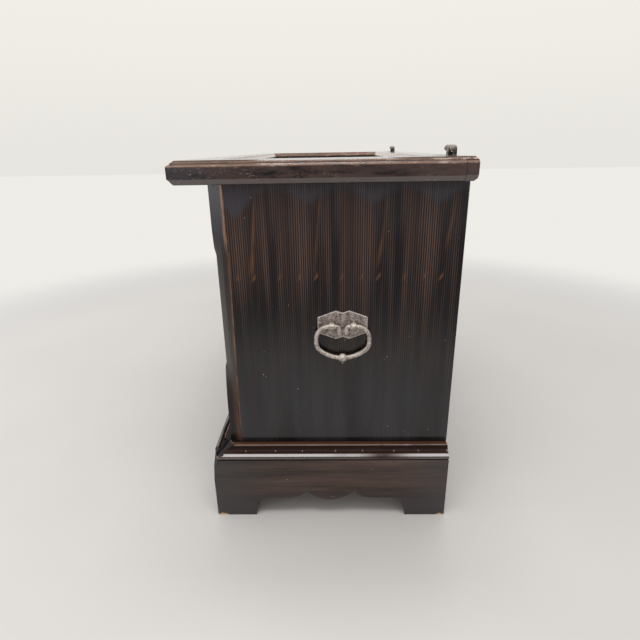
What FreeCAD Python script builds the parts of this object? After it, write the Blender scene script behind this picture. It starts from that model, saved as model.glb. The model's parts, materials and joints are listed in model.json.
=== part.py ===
import FreeCAD, Part
import math
import operator
import os
import Sketcher

# Sizes of the chest in millimetres. Z is up, the front looks along -Y and the length runs along X.
SIZES = {
    # The top as a whole: the lid and the fixed rail behind it.
    "top_length": 840,
    "top_depth": 406,
    "lid_thickness": 31,
    "lid_end_overhang": 35,
    "lid_front_overhang": 40,
    "hinge_rail_depth": 16,
    "hinge_rail_bevel": 4,
    "lid_gap": 0.5,
    # The lid's frame and its sunken panel.
    "lid_rail_width": 67,
    "lid_back_rail_width": 50,
    "lid_inner_bevel": 8,
    "lid_groove_depth": 8,
    "lid_panel_thickness": 12,
    "lid_panel_drop": 12,
    "lid_panel_play": 0.3,
    "batten_width": 40,
    "batten_thickness": 18,
    "batten_end_gap": 5,
    # The moulded edge round the lid: an S-shaped under-bevel, a face, a rounded ridge, a step and a bevel.
    "edge_under_run": 6.5,
    "edge_under_rise": 8,
    "edge_under_curve": 14,
    "edge_ridge_run": 2,
    "edge_ridge_rise": 2.5,
    "edge_ridge_curve": 3,
    "edge_slope_run": 2.5,
    "edge_slope_rise": 1.2,
    "edge_step": 1.2,
    "edge_bevel_run": 5,
    "edge_bevel_rise": 3.6,
    # The case.
    "case_height": 420.5,
    "end_thickness": 22,
    "front_thickness": 18,
    "front_setback": 10,
    "back_thickness": 18,
    "bottom_thickness": 12,
    # The hewn front corner of each end panel: width on the end face and depth on the front edge.
    # Its waist is hewn in two facets that meet on a ridge, and takes the front edge back a little.
    "hew_foot_width": 21.5,
    "hew_foot_depth": 12,
    "hew_waist_low_width": 22.3,
    "hew_waist_high_width": 25.4,
    "hew_waist_ridge_width": 13,
    "hew_waist_ridge_depth": 8,
    "hew_waist_recess": 2.3,
    "hew_head_width": 24,
    "hew_head_depth": 18,
    "hew_overrun": 2,
    # The moulding round the base: a ledge, a fillet, a cove, a lip and a bead.
    "base_ring_width": 60,
    "base_ledge": 11.5,
    "base_fillet": 2,
    "base_cove_radius": 8,
    "base_lip": 1,
    "base_bead_step": 1.5,
    "base_bead_radius": 5,
    "base_back_rail_depth": 50,
    "base_hew_foot": 1.5,
    "base_hew_shoulder_front": 9.5,
    "base_hew_shoulder_end": 4,
    "base_hew_top_front": 26,
    "base_hew_top_end": 9,
    # The bracket base and its scallops.
    "plinth_height": 112.5,
    "plinth_thickness": 20,
    "plinth_back_height": 64,
    "end_foot_width": 68,
    "front_foot_width": 70,
    "foot_lean": 3,
    "arch_height": 36.5,
    "arch_corner_run": 20,
    "arch_corner_rise": 11,
    "ogee_run": 25,
    "cusp_offset": 41.7,
    "cusp_height": 53,
    "lobe_height": 32.6,
    "foot_block_width": 40,
    "foot_block_lift": 8,
    # The two hinges on the top.
    "hinge_inset": 27,
    "hinge_rise": 10,
    "hinge_leaf_length": 46,
    "hinge_leaf_thickness": 2,
    "hinge_fixed_leaf_depth": 11.5,
    "hinge_lid_leaf_depth": 22,
    "knuckle_length": 16,
    "knuckle_gap": 0.4,
    "knuckle_radius": 4.5,
    "knuckle_end_radius": 3.3,
    "hinge_stem_thickness": 3.6,
    "hinge_stem_length": 13,
    "hinge_pin_radius": 2,
    "hinge_pin_clearance": 0.05,
    "hinge_pin_head_radius": 3.25,
    "hinge_pin_head_rise": 1.6,
    "hinge_pin_head_gap": 0.1,
    "screw_spacing": 32,
    "screw_head_radius": 3.2,
    "screw_shank_radius": 1.75,
    "screw_length": 16,
    "screw_clearance": 0.05,
    "fixed_screw_setback": 7.6,
    "lid_screw_setback": 14,
    # The bail handle on each end.
    "handle_height": 343.5,
    "handle_setback": 8.5,
    "plate_width": 76.5,
    "plate_height": 46.5,
    "plate_thickness": 2,
    "plate_bevel": 0.6,
    "bail_standoff": 9.5,
    "bail_width": 88,
    "bail_drop": 51.5,
    "bail_rod_diameter": 7,
    "bail_lower_radius": 18,
    "bail_straight": 21,
    "bail_curl_radius": 5.5,
    "bail_tip_offset": 5.5,
    "bail_tip_drop": 11,
    "bail_ball_radius": 7,
    "bail_drip_length": 3.2,
    "bail_drip_radius": 1.6,
    "bail_clearance": 0.08,
    "eye_spacing": 33,
    "eye_length": 9,
    "eye_wall": 2,
    "eye_rounding": 1.4,
    "eye_neck_radius": 4,
    "eye_shank_radius": 3,
    "eye_shank_clearance": 0.1,
    "eye_shank_past_nut": 1.5,
    "nut_radius": 6.5,
    "nut_height": 5,
    # How far a cutting shape runs past the faces that it cuts.
    "cut_overrun": 6,
}

# Where the hewn corner's foot and waist end and its waist and head begin, as shares of the panel's height.
HEW_FOOT_SHARES = (0.0, 0.15)
HEW_WAIST_SHARES = (0.33, 0.75)
HEW_HEAD_SHARES = (0.84, 1.0)
# Where the battens lie, as a share of the way from the lid's middle to the frame.
BATTEN_PLACE_SHARE = 0.6
# Where the base's corner cut starts to open and where its shoulder lies, as shares of the plinth's height.
CORNER_START_SHARE = 0.64
CORNER_SHOULDER_SHARE = 0.88
# How far the base's corner cut runs past the corner, as a share of its own width.
CORNER_OVERRUN_SHARE = 0.4
# Corners of the handle plate, as shares of its half width and half height.
PLATE_CORNER_SHARE = 0.55
PLATE_PEAK_SHARE = 0.27
PLATE_NOTCH_SHARE = 0.85
# Level at which the bail is widest, as a share of its drop.
BAIL_WIDEST_SHARE = 0.5

LEFT_TURN = 1
RIGHT_TURN = -1
SIDES = (("right", 1), ("left", -1))
OPERATIONS = {"+": operator.add, "-": operator.sub, "*": operator.mul, "/": operator.truediv}

doc = FreeCAD.newDocument("ship_chest")
sheet = doc.addObject("Spreadsheet::Sheet", "Sizes")
nodes = []


class Size:
    """A length that carries its number and the sheet formula behind it."""

    def __init__(self, number, formula):
        self.number = float(number)
        self.formula = formula

    def __add__(self, other):
        return combine(self, "+", other)

    def __radd__(self, other):
        return combine(other, "+", self)

    def __sub__(self, other):
        return combine(self, "-", other)

    def __rsub__(self, other):
        return combine(other, "-", self)

    def __mul__(self, other):
        return combine(self, "*", other)

    def __rmul__(self, other):
        return combine(other, "*", self)

    def __truediv__(self, other):
        return combine(self, "/", other)

    def __neg__(self):
        return combine(-1, "*", self)


def as_size(thing):
    if isinstance(thing, Size):
        return thing
    return Size(thing, "(%r)" % thing)


def combine(first, sign, second):
    one = as_size(first)
    two = as_size(second)
    number = OPERATIONS[sign](one.number, two.number)
    return Size(number, "(%s %s %s)" % (one.formula, sign, two.formula))


class NamedSizes:
    """The sheet's cells, each as a Size under its own name."""


def fill_sheet():
    named = NamedSizes()
    for row, name in enumerate(SIZES, start=1):
        sheet.set("A%d" % row, name)
        sheet.set("B%d" % row, str(SIZES[name]))
        sheet.setAlias("B%d" % row, name)
        setattr(named, name, Size(SIZES[name], "Sizes.%s" % name))
    doc.recompute()
    return named


def bind(thing, name, length):
    thing.setExpression(name, as_size(length).formula)


# Basic shapes


def new_body(label):
    body = doc.addObject("PartDesign::Body", label)
    body.Label = label
    return body


def node_body(label):
    body = new_body(label)
    nodes.append(body)
    return body


def new_sketch(body, plane, across=0, up=0, out=0):
    """A sketch on one of the body's own planes, moved along the plane's two axes and its normal."""
    sketch = body.newObject("Sketcher::SketchObject", body.Name + "_sketch")
    support = [feature for feature in body.Origin.OriginFeatures if feature.Role == plane][0]
    sketch.AttachmentSupport = (support, [""])
    sketch.MapMode = "FlatFace"
    for axis, length in (("x", across), ("y", up), ("z", out)):
        bind(sketch, "AttachmentOffset.Base." + axis, length)
    return sketch


def stretch(start, finish, bend):
    """A line, or an arc of the given radius and turn, with the ends that stand at start and finish."""
    if not bend:
        return Part.LineSegment(start, finish), 1, 2
    radius, turn = as_size(bend[0]).number, bend[1]
    chord = finish - start
    half = chord.Length / 2
    rise = math.sqrt(max(radius * radius - half * half, 0))
    normal = FreeCAD.Vector(-chord.y, chord.x, 0).normalize()
    centre = (start + finish) * 0.5 + normal * rise * turn
    circle = Part.Circle(centre, FreeCAD.Vector(0, 0, 1), radius)
    angles = [math.atan2(end.y - centre.y, end.x - centre.x) for end in (start, finish)]
    if turn == LEFT_TURN:
        return Part.ArcOfCircle(circle, angles[0], angles[1]), 1, 2
    return Part.ArcOfCircle(circle, angles[1], angles[0]), 2, 1


def outline(sketch, corners, side=1, closed=True):
    """Draw corners given as (across, up) or (across, up, radius, turn); side -1 mirrors them across."""
    places = []
    for corner in corners:
        places.append((as_size(corner[0]) * side, as_size(corner[1])))
    points = [FreeCAD.Vector(place[0].number, place[1].number, 0) for place in places]
    count = len(corners) if closed else len(corners) - 1
    ends = []
    ties = []
    radii = []
    for index in range(count):
        bend = corners[index][2:]
        if bend:
            bend = (bend[0], bend[1] * side)
        shape, first, last = stretch(points[index], points[(index + 1) % len(points)], bend)
        geometry = sketch.addGeometry(shape)
        ends.append((geometry, first, last))
        if bend:
            radii.append((geometry, as_size(bend[0])))
    for index in range(count if closed else count - 1):
        here = ends[index]
        after = ends[(index + 1) % count]
        ties.append(Sketcher.Constraint("Coincident", here[0], here[2], after[0], after[1]))
    formulas = [None] * len(ties)
    for index, place in enumerate(places):
        geometry, at = (ends[index][0], ends[index][1]) if index < count else (ends[-1][0], ends[-1][2])
        for kind, length in (("DistanceX", place[0]), ("DistanceY", place[1])):
            ties.append(Sketcher.Constraint(kind, -1, 1, geometry, at, length.number))
            formulas.append(length.formula)
    for geometry, radius in radii:
        ties.append(Sketcher.Constraint("Radius", geometry, radius.number))
        formulas.append(radius.formula)
    tie_down(sketch, ties, formulas)


def ring(sketch, across, up, radius):
    """Draw a circle."""
    centre = FreeCAD.Vector(as_size(across).number, as_size(up).number, 0)
    circle = Part.Circle(centre, FreeCAD.Vector(0, 0, 1), as_size(radius).number)
    geometry = sketch.addGeometry(circle)
    ties = []
    formulas = []
    for kind, length in (("DistanceX", across), ("DistanceY", up)):
        ties.append(Sketcher.Constraint(kind, -1, 1, geometry, 3, as_size(length).number))
        formulas.append(as_size(length).formula)
    ties.append(Sketcher.Constraint("Radius", geometry, as_size(radius).number))
    formulas.append(as_size(radius).formula)
    tie_down(sketch, ties, formulas)


def tie_down(sketch, ties, formulas):
    start = sketch.ConstraintCount
    sketch.addConstraint(ties)
    for index, formula in enumerate(formulas):
        if formula and "Sizes." in formula:
            sketch.setExpression("Constraints[%d]" % (start + index), formula)


def whole(half, bridge=()):
    """Corners of one half, then their mirror image on the way back; bridge bends the closing stretch."""
    corners = list(half)
    for index in range(len(half) - 1, -1, -1):
        bend = half[index - 1][2:] if index else bridge
        corners.append((-as_size(half[index][0]), half[index][1]) + tuple(bend))
    return corners


def pad(body, sketch, length, reverse=False):
    feature = body.newObject("PartDesign::Pad", body.Name + "_pad")
    feature.Profile = sketch
    feature.Reversed = reverse
    bind(feature, "Length", length)
    return feature


def cut(body, sketch, forward, length=None):
    """Cut a sketch's outline out of the body, along its normal or against it, right through or to a depth."""
    feature = body.newObject("PartDesign::Pocket", body.Name + "_cut")
    feature.Profile = sketch
    feature.Reversed = forward
    if length is None:
        feature.Type = "ThroughAll"
    else:
        bind(feature, "Length", length)
    return feature


def turn(body, sketch, axis):
    """Revolve a half section about one of its sketch's axes."""
    feature = body.newObject("PartDesign::Revolution", body.Name + "_turn")
    feature.Profile = sketch
    feature.ReferenceAxis = (sketch, [axis])
    feature.Angle = 360
    return feature


def bore_out(body, sketch, axis):
    """Cut a half section, revolved about one of its sketch's axes, out of the body."""
    feature = body.newObject("PartDesign::Groove", body.Name + "_bore")
    feature.Profile = sketch
    feature.ReferenceAxis = (sketch, [axis])
    feature.Angle = 360
    return feature


def hew(body, sections):
    """Cut away the straight-sided tool that joins a stack of triangles, given as (level, corners, side)."""
    sketches = []
    for level, corners, side in sections:
        sketch = new_sketch(body, "XY_Plane", out=level)
        outline(sketch, corners, side)
        sketches.append(sketch)
    feature = body.newObject("PartDesign::SubtractiveLoft", body.Name + "_hewn")
    feature.Profile = sketches[0]
    feature.Sections = sketches[1:]
    feature.Ruled = True
    return feature


def board(label, start, lengths):
    """A plain board from its lowest corner and its three lengths."""
    box = doc.addObject("Part::Box", label)
    box.Label = label
    for name, length in zip(("Length", "Width", "Height"), lengths):
        bind(box, name, length)
    for axis, place in zip(("x", "y", "z"), start):
        bind(box, "Placement.Base." + axis, place)
    nodes.append(box)
    return box


def group(label, members):
    """Separate solids that share one node."""
    compound = doc.addObject("Part::Compound", label)
    compound.Label = label
    compound.Links = members
    nodes.append(compound)
    return compound


s = fill_sheet()

# Places that several pieces share, worked out from the sizes.
top_half = s.top_length / 2
top_out = s.top_depth / 2
case_half = top_half - s.lid_end_overhang
case_out = top_out - s.lid_front_overhang
base_reach = s.base_ledge + s.base_cove_radius + s.base_bead_step + s.base_bead_radius
base_half = case_half + base_reach
base_out = case_out + base_reach
moulding_height = s.base_fillet + s.base_cove_radius + s.base_lip + s.base_bead_radius * 2
base_height = s.plinth_height + moulding_height
case_top = base_height + s.case_height
chest_top = case_top + s.lid_thickness
inner_half = case_half - s.end_thickness
front_face = -case_out + s.front_setback
front_inside = front_face + s.front_thickness
back_inside = top_out - s.back_thickness
rail_front = top_out - s.hinge_rail_depth
lid_back = rail_front - s.lid_gap
ring_inner = s.base_ring_width - base_reach
panel_top = chest_top - s.lid_panel_drop
panel_under = panel_top - s.lid_panel_thickness
lid_opening_half = top_half - s.lid_rail_width
lid_opening_front = top_out - s.lid_rail_width
lid_opening_back = lid_back - s.lid_back_rail_width
hinge_middle = lid_opening_half - s.hinge_inset
hinge_axis_y = (rail_front + lid_back) / 2
hinge_axis_z = chest_top + s.hinge_rise
handle_middle = (top_out - case_out) / 2 + s.handle_setback
base_middle = (top_out - base_out) / 2
leaf_under = chest_top - s.hinge_leaf_thickness


# Case


def hewing_tool(width, ridge_width, ridge_depth, inner_depth, inner_width):
    """Plan of the cut over an end panel's front corner: two facets from the end face in, over a ridge.

    The second facet runs on from the ridge through the point inner_depth in and inner_width back.
    """
    end_slope = (width - ridge_width) / ridge_depth
    front_slope = (ridge_width - inner_width) / (inner_depth - ridge_depth)
    reach = s.end_thickness + s.hew_overrun
    clear = (reach + width) * 2
    return [
        (case_half - reach, -case_out - clear),
        (case_half + s.hew_overrun, -case_out - clear),
        (case_half + s.hew_overrun, -case_out + width + end_slope * s.hew_overrun),
        (case_half - ridge_depth, -case_out + ridge_width),
        (case_half - reach, -case_out + inner_width - front_slope * (reach - inner_depth)),
    ]


def plain_facet(width, depth):
    """The same cut with a single facet, so that its ridge lies half way along it."""
    return hewing_tool(width, width / 2, depth / 2, depth, as_size(0))


def end_panel(hand, side):
    """End board with a hand-hewn front corner, whose facets change twice, and holes for the handle's eyes."""
    body = node_body("end_panel_" + hand)
    plan = new_sketch(body, "XY_Plane", out=base_height)
    outline(plan, [
        (inner_half, -case_out),
        (case_half, -case_out),
        (case_half, top_out),
        (inner_half, top_out),
    ], side)
    pad(body, plan, s.case_height)
    foot = plain_facet(s.hew_foot_width, s.hew_foot_depth)
    head = plain_facet(s.hew_head_width, s.hew_head_depth)
    stages = [(share, foot) for share in HEW_FOOT_SHARES]
    for share, width in zip(HEW_WAIST_SHARES, (s.hew_waist_low_width, s.hew_waist_high_width)):
        stages.append((share, hewing_tool(
            width, s.hew_waist_ridge_width, s.hew_waist_ridge_depth, s.end_thickness, s.hew_waist_recess,
        )))
    stages += [(share, head) for share in HEW_HEAD_SHARES]
    hew(body, [(base_height + s.case_height * share, plan_of_cut, side) for share, plan_of_cut in stages])
    holes = new_sketch(body, "YZ_Plane")
    for end in (-1, 1):
        hole_radius = s.eye_shank_radius + s.eye_shank_clearance
        ring(holes, handle_middle + s.eye_spacing / 2 * end, s.handle_height, hole_radius)
    cut(body, holes, side > 0)


for hand, side in SIDES:
    end_panel(hand, side)

board(
    "front_panel",
    (-inner_half, front_face, base_height),
    (inner_half * 2, s.front_thickness, s.case_height),
)
board(
    "back_panel",
    (-inner_half, back_inside, base_height),
    (inner_half * 2, s.back_thickness, s.case_height),
)
board(
    "bottom_board",
    (-inner_half, front_inside, base_height),
    (inner_half * 2, back_inside - front_inside, s.bottom_thickness),
)


# Base


def mitre(body, outer, front, width, side, keep_end):
    """Cut the front corner at 45 degrees, keeping the end piece or the front piece."""
    plan = new_sketch(body, "XY_Plane")
    near = (outer + s.cut_overrun, -front - s.cut_overrun)
    far = (outer - width - s.cut_overrun, -front + width + s.cut_overrun)
    third = (far[0], near[1]) if keep_end else (near[0], far[1])
    for each in side:
        outline(plan, [near, far, third], each)
    cut(body, plan, True)


def base_section():
    """Half section of the base moulding, outward from the case's face."""
    bead_out = s.base_ledge + s.base_cove_radius + s.base_bead_step
    cove_out = s.base_ledge + s.base_cove_radius
    bead_top = s.plinth_height + s.base_bead_radius * 2
    cove_foot = bead_top + s.base_lip
    return [
        (-ring_inner, s.plinth_height),
        (bead_out, s.plinth_height, s.base_bead_radius, LEFT_TURN),
        (base_reach, s.plinth_height + s.base_bead_radius, s.base_bead_radius, LEFT_TURN),
        (bead_out, bead_top),
        (cove_out, bead_top),
        (cove_out, cove_foot, s.base_cove_radius, RIGHT_TURN),
        (s.base_ledge, cove_foot + s.base_cove_radius),
        (s.base_ledge, base_height),
        (-ring_inner, base_height),
    ]


def corner_cut(front_leg, end_leg):
    """A triangle over the base's front corner, with the given legs along the front and along the end."""
    past_front = front_leg * CORNER_OVERRUN_SHARE
    past_end = end_leg * CORNER_OVERRUN_SHARE
    return [
        (base_half - front_leg - past_front, -base_out - past_end),
        (base_half + past_front, -base_out - past_end),
        (base_half + past_front, -base_out + end_leg + past_end),
    ]


def hew_moulding_corner(body, side):
    bead_middle = s.plinth_height + s.base_bead_radius
    over_bead = corner_cut(s.base_hew_top_front, s.base_hew_top_end)
    hew(body, [
        (s.plinth_height, over_bead, side),
        (bead_middle, over_bead, side),
        (base_height, corner_cut(base_reach * 2, base_reach * 2), side),
    ])


def hew_plinth_corner(body, side):
    foot = corner_cut(s.base_hew_foot, s.base_hew_foot)
    shoulder = corner_cut(s.base_hew_shoulder_front, s.base_hew_shoulder_end)
    hew(body, [
        (as_size(0), foot, side),
        (s.plinth_height * CORNER_START_SHARE, foot, side),
        (s.plinth_height * CORNER_SHOULDER_SHARE, shoulder, side),
        (s.plinth_height, corner_cut(s.base_hew_top_front, s.base_hew_top_end), side),
    ])


def scallop(half, foot):
    """Half outline of a bracket base: a centre lobe, a cusp, an ogee, a level arch and a leaning foot."""
    foot_inner = half - foot
    foot_upper = foot_inner - s.foot_lean
    ogee_rise = s.cusp_height - s.arch_height
    ogee_radius = (s.ogee_run * s.ogee_run + ogee_rise * ogee_rise) / (ogee_rise * 2)
    corner_radius = (s.arch_corner_run * s.arch_corner_run + s.arch_corner_rise * s.arch_corner_rise)
    corner_radius = corner_radius / (s.arch_corner_rise * 2)
    lobe_rise = s.cusp_height - s.lobe_height
    lobe_radius = (s.cusp_offset * s.cusp_offset + lobe_rise * lobe_rise) / (lobe_rise * 2)
    return whole([
        (s.cusp_offset, s.cusp_height, ogee_radius, LEFT_TURN),
        (s.cusp_offset + s.ogee_run, s.arch_height),
        (foot_upper - s.arch_corner_run, s.arch_height, corner_radius, RIGHT_TURN),
        (foot_upper, s.arch_height - s.arch_corner_rise),
        (foot_inner, 0),
        (half, 0),
        (half, s.plinth_height),
    ], (lobe_radius, LEFT_TURN))


def base_end(hand, side):
    moulding = node_body("base_moulding_" + hand)
    section = new_sketch(moulding, "XZ_Plane", across=case_half * side, out=base_out)
    outline(section, base_section(), side)
    pad(moulding, section, base_out + top_out, True)
    mitre(moulding, base_half, base_out, s.base_ring_width, (side,), True)
    hew_moulding_corner(moulding, side)

    plinth = node_body("plinth_" + hand)
    inner_face = base_half - s.plinth_thickness
    elevation = new_sketch(plinth, "YZ_Plane", across=base_middle, out=inner_face * side)
    outline(elevation, scallop((base_out + top_out) / 2, s.end_foot_width))
    pad(plinth, elevation, s.plinth_thickness, side < 0)
    mitre(plinth, base_half, base_out, s.plinth_thickness, (side,), True)
    hew_plinth_corner(plinth, side)


def base_front():
    moulding = node_body("base_moulding_front")
    section = new_sketch(moulding, "YZ_Plane", across=-case_out, out=-base_half)
    outline(section, base_section(), -1)
    pad(moulding, section, base_half * 2)
    mitre(moulding, base_half, base_out, s.base_ring_width, (1, -1), False)

    plinth = node_body("plinth_front")
    elevation = new_sketch(plinth, "XZ_Plane", out=base_out - s.plinth_thickness)
    outline(elevation, scallop(base_half, s.front_foot_width))
    pad(plinth, elevation, s.plinth_thickness)
    mitre(plinth, base_half, base_out, s.plinth_thickness, (1, -1), False)
    for hand, side in SIDES:
        hew_moulding_corner(moulding, side)
        hew_plinth_corner(plinth, side)


base_front()
for hand, side in SIDES:
    base_end(hand, side)

ring_half = case_half - ring_inner
board(
    "base_back_rail",
    (-ring_half, top_out - s.base_back_rail_depth, s.plinth_height),
    (ring_half * 2, s.base_back_rail_depth, moulding_height),
)
plinth_inner = base_half - s.plinth_thickness
board(
    "plinth_back",
    (-plinth_inner, top_out - s.plinth_thickness, s.plinth_height - s.plinth_back_height),
    (plinth_inner * 2, s.plinth_thickness, s.plinth_back_height),
)
block_places = (
    ("front", s.plinth_thickness - base_out),
    ("back", top_out - s.plinth_thickness - s.foot_block_width),
)
for depth_name, block_y in block_places:
    for hand, side in SIDES:
        block_x = plinth_inner - s.foot_block_width if side > 0 else -plinth_inner
        board(
            "foot_block_%s_%s" % (depth_name, hand),
            (block_x, block_y, s.foot_block_lift),
            (s.foot_block_width, s.foot_block_width, s.plinth_height - s.foot_block_lift),
        )


# Lid


def moulded_edge(outer):
    """The outer edge's corners from the underside up to the top face."""
    run_ridge = outer - s.edge_ridge_run
    run_step = run_ridge - s.edge_slope_run
    bevel_foot = chest_top - s.edge_bevel_rise
    step_foot = bevel_foot - s.edge_step
    ridge_top = step_foot - s.edge_slope_rise
    return [
        (outer - s.edge_under_run, case_top, s.edge_under_curve, LEFT_TURN),
        (outer - s.edge_under_run / 2, case_top + s.edge_under_rise / 2, s.edge_under_curve, RIGHT_TURN),
        (outer, case_top + s.edge_under_rise),
        (outer, ridge_top - s.edge_ridge_rise, s.edge_ridge_curve, LEFT_TURN),
        (run_ridge, ridge_top),
        (run_step, step_foot),
        (run_step, bevel_foot),
        (run_step - s.edge_bevel_run, chest_top),
    ]


def grooved_edge(inner):
    """The inner edge's corners from the top face down to the underside, with the panel's groove."""
    deep = inner + s.lid_groove_depth
    return [
        (inner + s.lid_inner_bevel, chest_top),
        (inner, chest_top - s.lid_inner_bevel),
        (inner, panel_top),
        (deep, panel_top),
        (deep, panel_under),
        (inner, panel_under),
        (inner, case_top),
    ]


def lid_front_rail():
    body = node_body("lid_front_rail")
    section = new_sketch(body, "YZ_Plane", out=-top_half)
    outline(section, moulded_edge(top_out) + grooved_edge(lid_opening_front), -1)
    pad(body, section, s.top_length)
    mitre(body, top_half, top_out, s.lid_rail_width, (1, -1), False)


def lid_end_rail(hand, side):
    body = node_body("lid_%s_rail" % hand)
    section = new_sketch(body, "XZ_Plane", out=top_out)
    outline(section, moulded_edge(top_half) + grooved_edge(lid_opening_half), side)
    pad(body, section, top_out + lid_back, True)
    mitre(body, top_half, top_out, s.lid_rail_width, (side,), True)


def hinge_mortises(body, front, depth, screw_y):
    """Sink the hinge leaves flush into the top face, with holes for their screws."""
    beds = new_sketch(body, "XY_Plane", out=chest_top)
    holes = new_sketch(body, "XY_Plane", out=chest_top)
    half = s.hinge_leaf_length / 2
    for hand, side in SIDES:
        outline(beds, [
            (hinge_middle - half, front),
            (hinge_middle + half, front),
            (hinge_middle + half, front + depth),
            (hinge_middle - half, front + depth),
        ], side)
        for end in (-1, 1):
            across = (hinge_middle + s.screw_spacing / 2 * end) * side
            ring(holes, across, screw_y, s.screw_shank_radius + s.screw_clearance)
    cut(body, beds, False, s.hinge_leaf_thickness)
    cut(body, holes, False, s.screw_length + s.screw_clearance)


def lid_back_rail():
    """Back rail between the end rails, with stub tenons that fill their grooves."""
    body = node_body("lid_back_rail")
    section = new_sketch(body, "YZ_Plane", out=-lid_opening_half)
    outline(section, [(lid_back, case_top), (lid_back, chest_top)] + grooved_edge(lid_opening_back))
    pad(body, section, lid_opening_half * 2)
    for hand, side in SIDES:
        tenon = new_sketch(body, "YZ_Plane", out=lid_opening_half * side)
        outline(tenon, [
            (lid_opening_back + s.lid_groove_depth, panel_under),
            (lid_back, panel_under),
            (lid_back, panel_top),
            (lid_opening_back + s.lid_groove_depth, panel_top),
        ])
        pad(body, tenon, s.lid_groove_depth, side < 0)
    leaf_front = lid_back - s.hinge_lid_leaf_depth
    hinge_mortises(body, leaf_front, s.hinge_lid_leaf_depth, lid_back - s.lid_screw_setback)


def hinge_rail():
    """Fixed rail behind the lid, with the lid's moulded edge on both ends and small bevels along the back."""
    body = node_body("rear_hinge_rail")
    section = new_sketch(body, "XZ_Plane", out=-rail_front)
    outline(section, whole(moulded_edge(top_half)))
    pad(body, section, s.hinge_rail_depth, True)
    corners = new_sketch(body, "YZ_Plane", out=-top_half)
    for level, way in ((chest_top, 1), (case_top, -1)):
        outline(corners, [
            (top_out - s.hinge_rail_bevel, level),
            (top_out, level - s.hinge_rail_bevel * way),
            (top_out + s.hinge_rail_bevel, level - s.hinge_rail_bevel * way),
            (top_out + s.hinge_rail_bevel, level + s.hinge_rail_bevel * way),
            (top_out - s.hinge_rail_bevel, level + s.hinge_rail_bevel * way),
        ])
    cut(body, corners, True)
    hinge_mortises(body, rail_front, s.hinge_fixed_leaf_depth, rail_front + s.fixed_screw_setback)


lid_front_rail()
for hand, side in SIDES:
    lid_end_rail(hand, side)
lid_back_rail()
hinge_rail()

tongue = s.lid_groove_depth - s.lid_panel_play
board(
    "lid_panel",
    (-lid_opening_half - tongue, -lid_opening_front - tongue, panel_under),
    ((lid_opening_half + tongue) * 2,
     lid_opening_front + lid_opening_back + tongue * 2,
     s.lid_panel_thickness),
)
for hand, side in SIDES:
    board(
        "lid_batten_" + hand,
        (lid_opening_half * BATTEN_PLACE_SHARE * side - s.batten_width / 2,
         s.batten_end_gap - lid_opening_front,
         panel_under - s.batten_thickness),
        (s.batten_width, lid_opening_front + lid_opening_back - s.batten_end_gap * 2, s.batten_thickness),
    )


# Hinges


def knuckle(centre, bore):
    """Half section of one bead-shaped knuckle, along the pin's axis."""
    half = s.knuckle_length / 2
    bulge = s.knuckle_radius - s.knuckle_end_radius
    curve = (half * half + bulge * bulge) / (bulge * 2)
    return [
        (centre - half, bore),
        (centre + half, bore),
        (centre + half, s.knuckle_end_radius, curve, LEFT_TURN),
        (centre - half, s.knuckle_end_radius),
    ]


def hinge_leaf(label, side, front, depth, stem_front, screw_y, centres):
    """A flat leaf with stems that carry its knuckles and countersunk holes for its screws."""
    body = node_body(label)
    middle = hinge_middle * side
    half = s.hinge_leaf_length / 2
    bore = s.hinge_pin_radius + s.hinge_pin_clearance
    plan = new_sketch(body, "XY_Plane", across=middle, out=leaf_under)
    outline(plan, [(-half, front), (half, front), (half, front + depth), (-half, front + depth)])
    pad(body, plan, s.hinge_leaf_thickness)
    stems = new_sketch(body, "XY_Plane", across=middle, out=leaf_under)
    stem_half = s.hinge_stem_length / 2
    for centre in centres:
        outline(stems, [
            (centre - stem_half, stem_front),
            (centre + stem_half, stem_front),
            (centre + stem_half, stem_front + s.hinge_stem_thickness),
            (centre - stem_half, stem_front + s.hinge_stem_thickness),
        ])
    pad(body, stems, s.hinge_leaf_thickness + s.hinge_rise)
    for centre in centres:
        beads = new_sketch(body, "XZ_Plane", across=middle, up=hinge_axis_z, out=-hinge_axis_y)
        outline(beads, knuckle(centre, bore))
        turn(body, beads, "H_Axis")
    bores = new_sketch(body, "YZ_Plane", out=middle - half)
    ring(bores, hinge_axis_y, hinge_axis_z, bore)
    cut(body, bores, True)
    for end in (-1, 1):
        across = middle + s.screw_spacing / 2 * end
        sink = new_sketch(body, "XZ_Plane", across=across, up=chest_top, out=-screw_y)
        narrow = s.screw_shank_radius + s.screw_clearance
        wide = s.screw_head_radius + s.screw_clearance
        outline(sink, [
            (0, -s.hinge_leaf_thickness),
            (narrow, -s.hinge_leaf_thickness),
            (narrow, narrow - wide),
            (wide, 0),
            (0, 0),
        ])
        bore_out(body, sink, "V_Axis")


def hinge_pin(label, side):
    """Pin with a domed head at each end."""
    body = node_body(label)
    middle = hinge_middle * side
    sketch = new_sketch(body, "XZ_Plane", across=middle, up=hinge_axis_z, out=-hinge_axis_y)
    half = s.knuckle_length * 1.5 + s.knuckle_gap + s.hinge_pin_head_gap
    rise = s.hinge_pin_head_rise
    dome = (s.hinge_pin_head_radius * s.hinge_pin_head_radius + rise * rise) / (rise * 2)
    outline(sketch, whole([
        (half, s.hinge_pin_radius),
        (half, s.hinge_pin_head_radius, dome, RIGHT_TURN),
        (half + rise, 0),
    ]))
    turn(body, sketch, "H_Axis")


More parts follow.
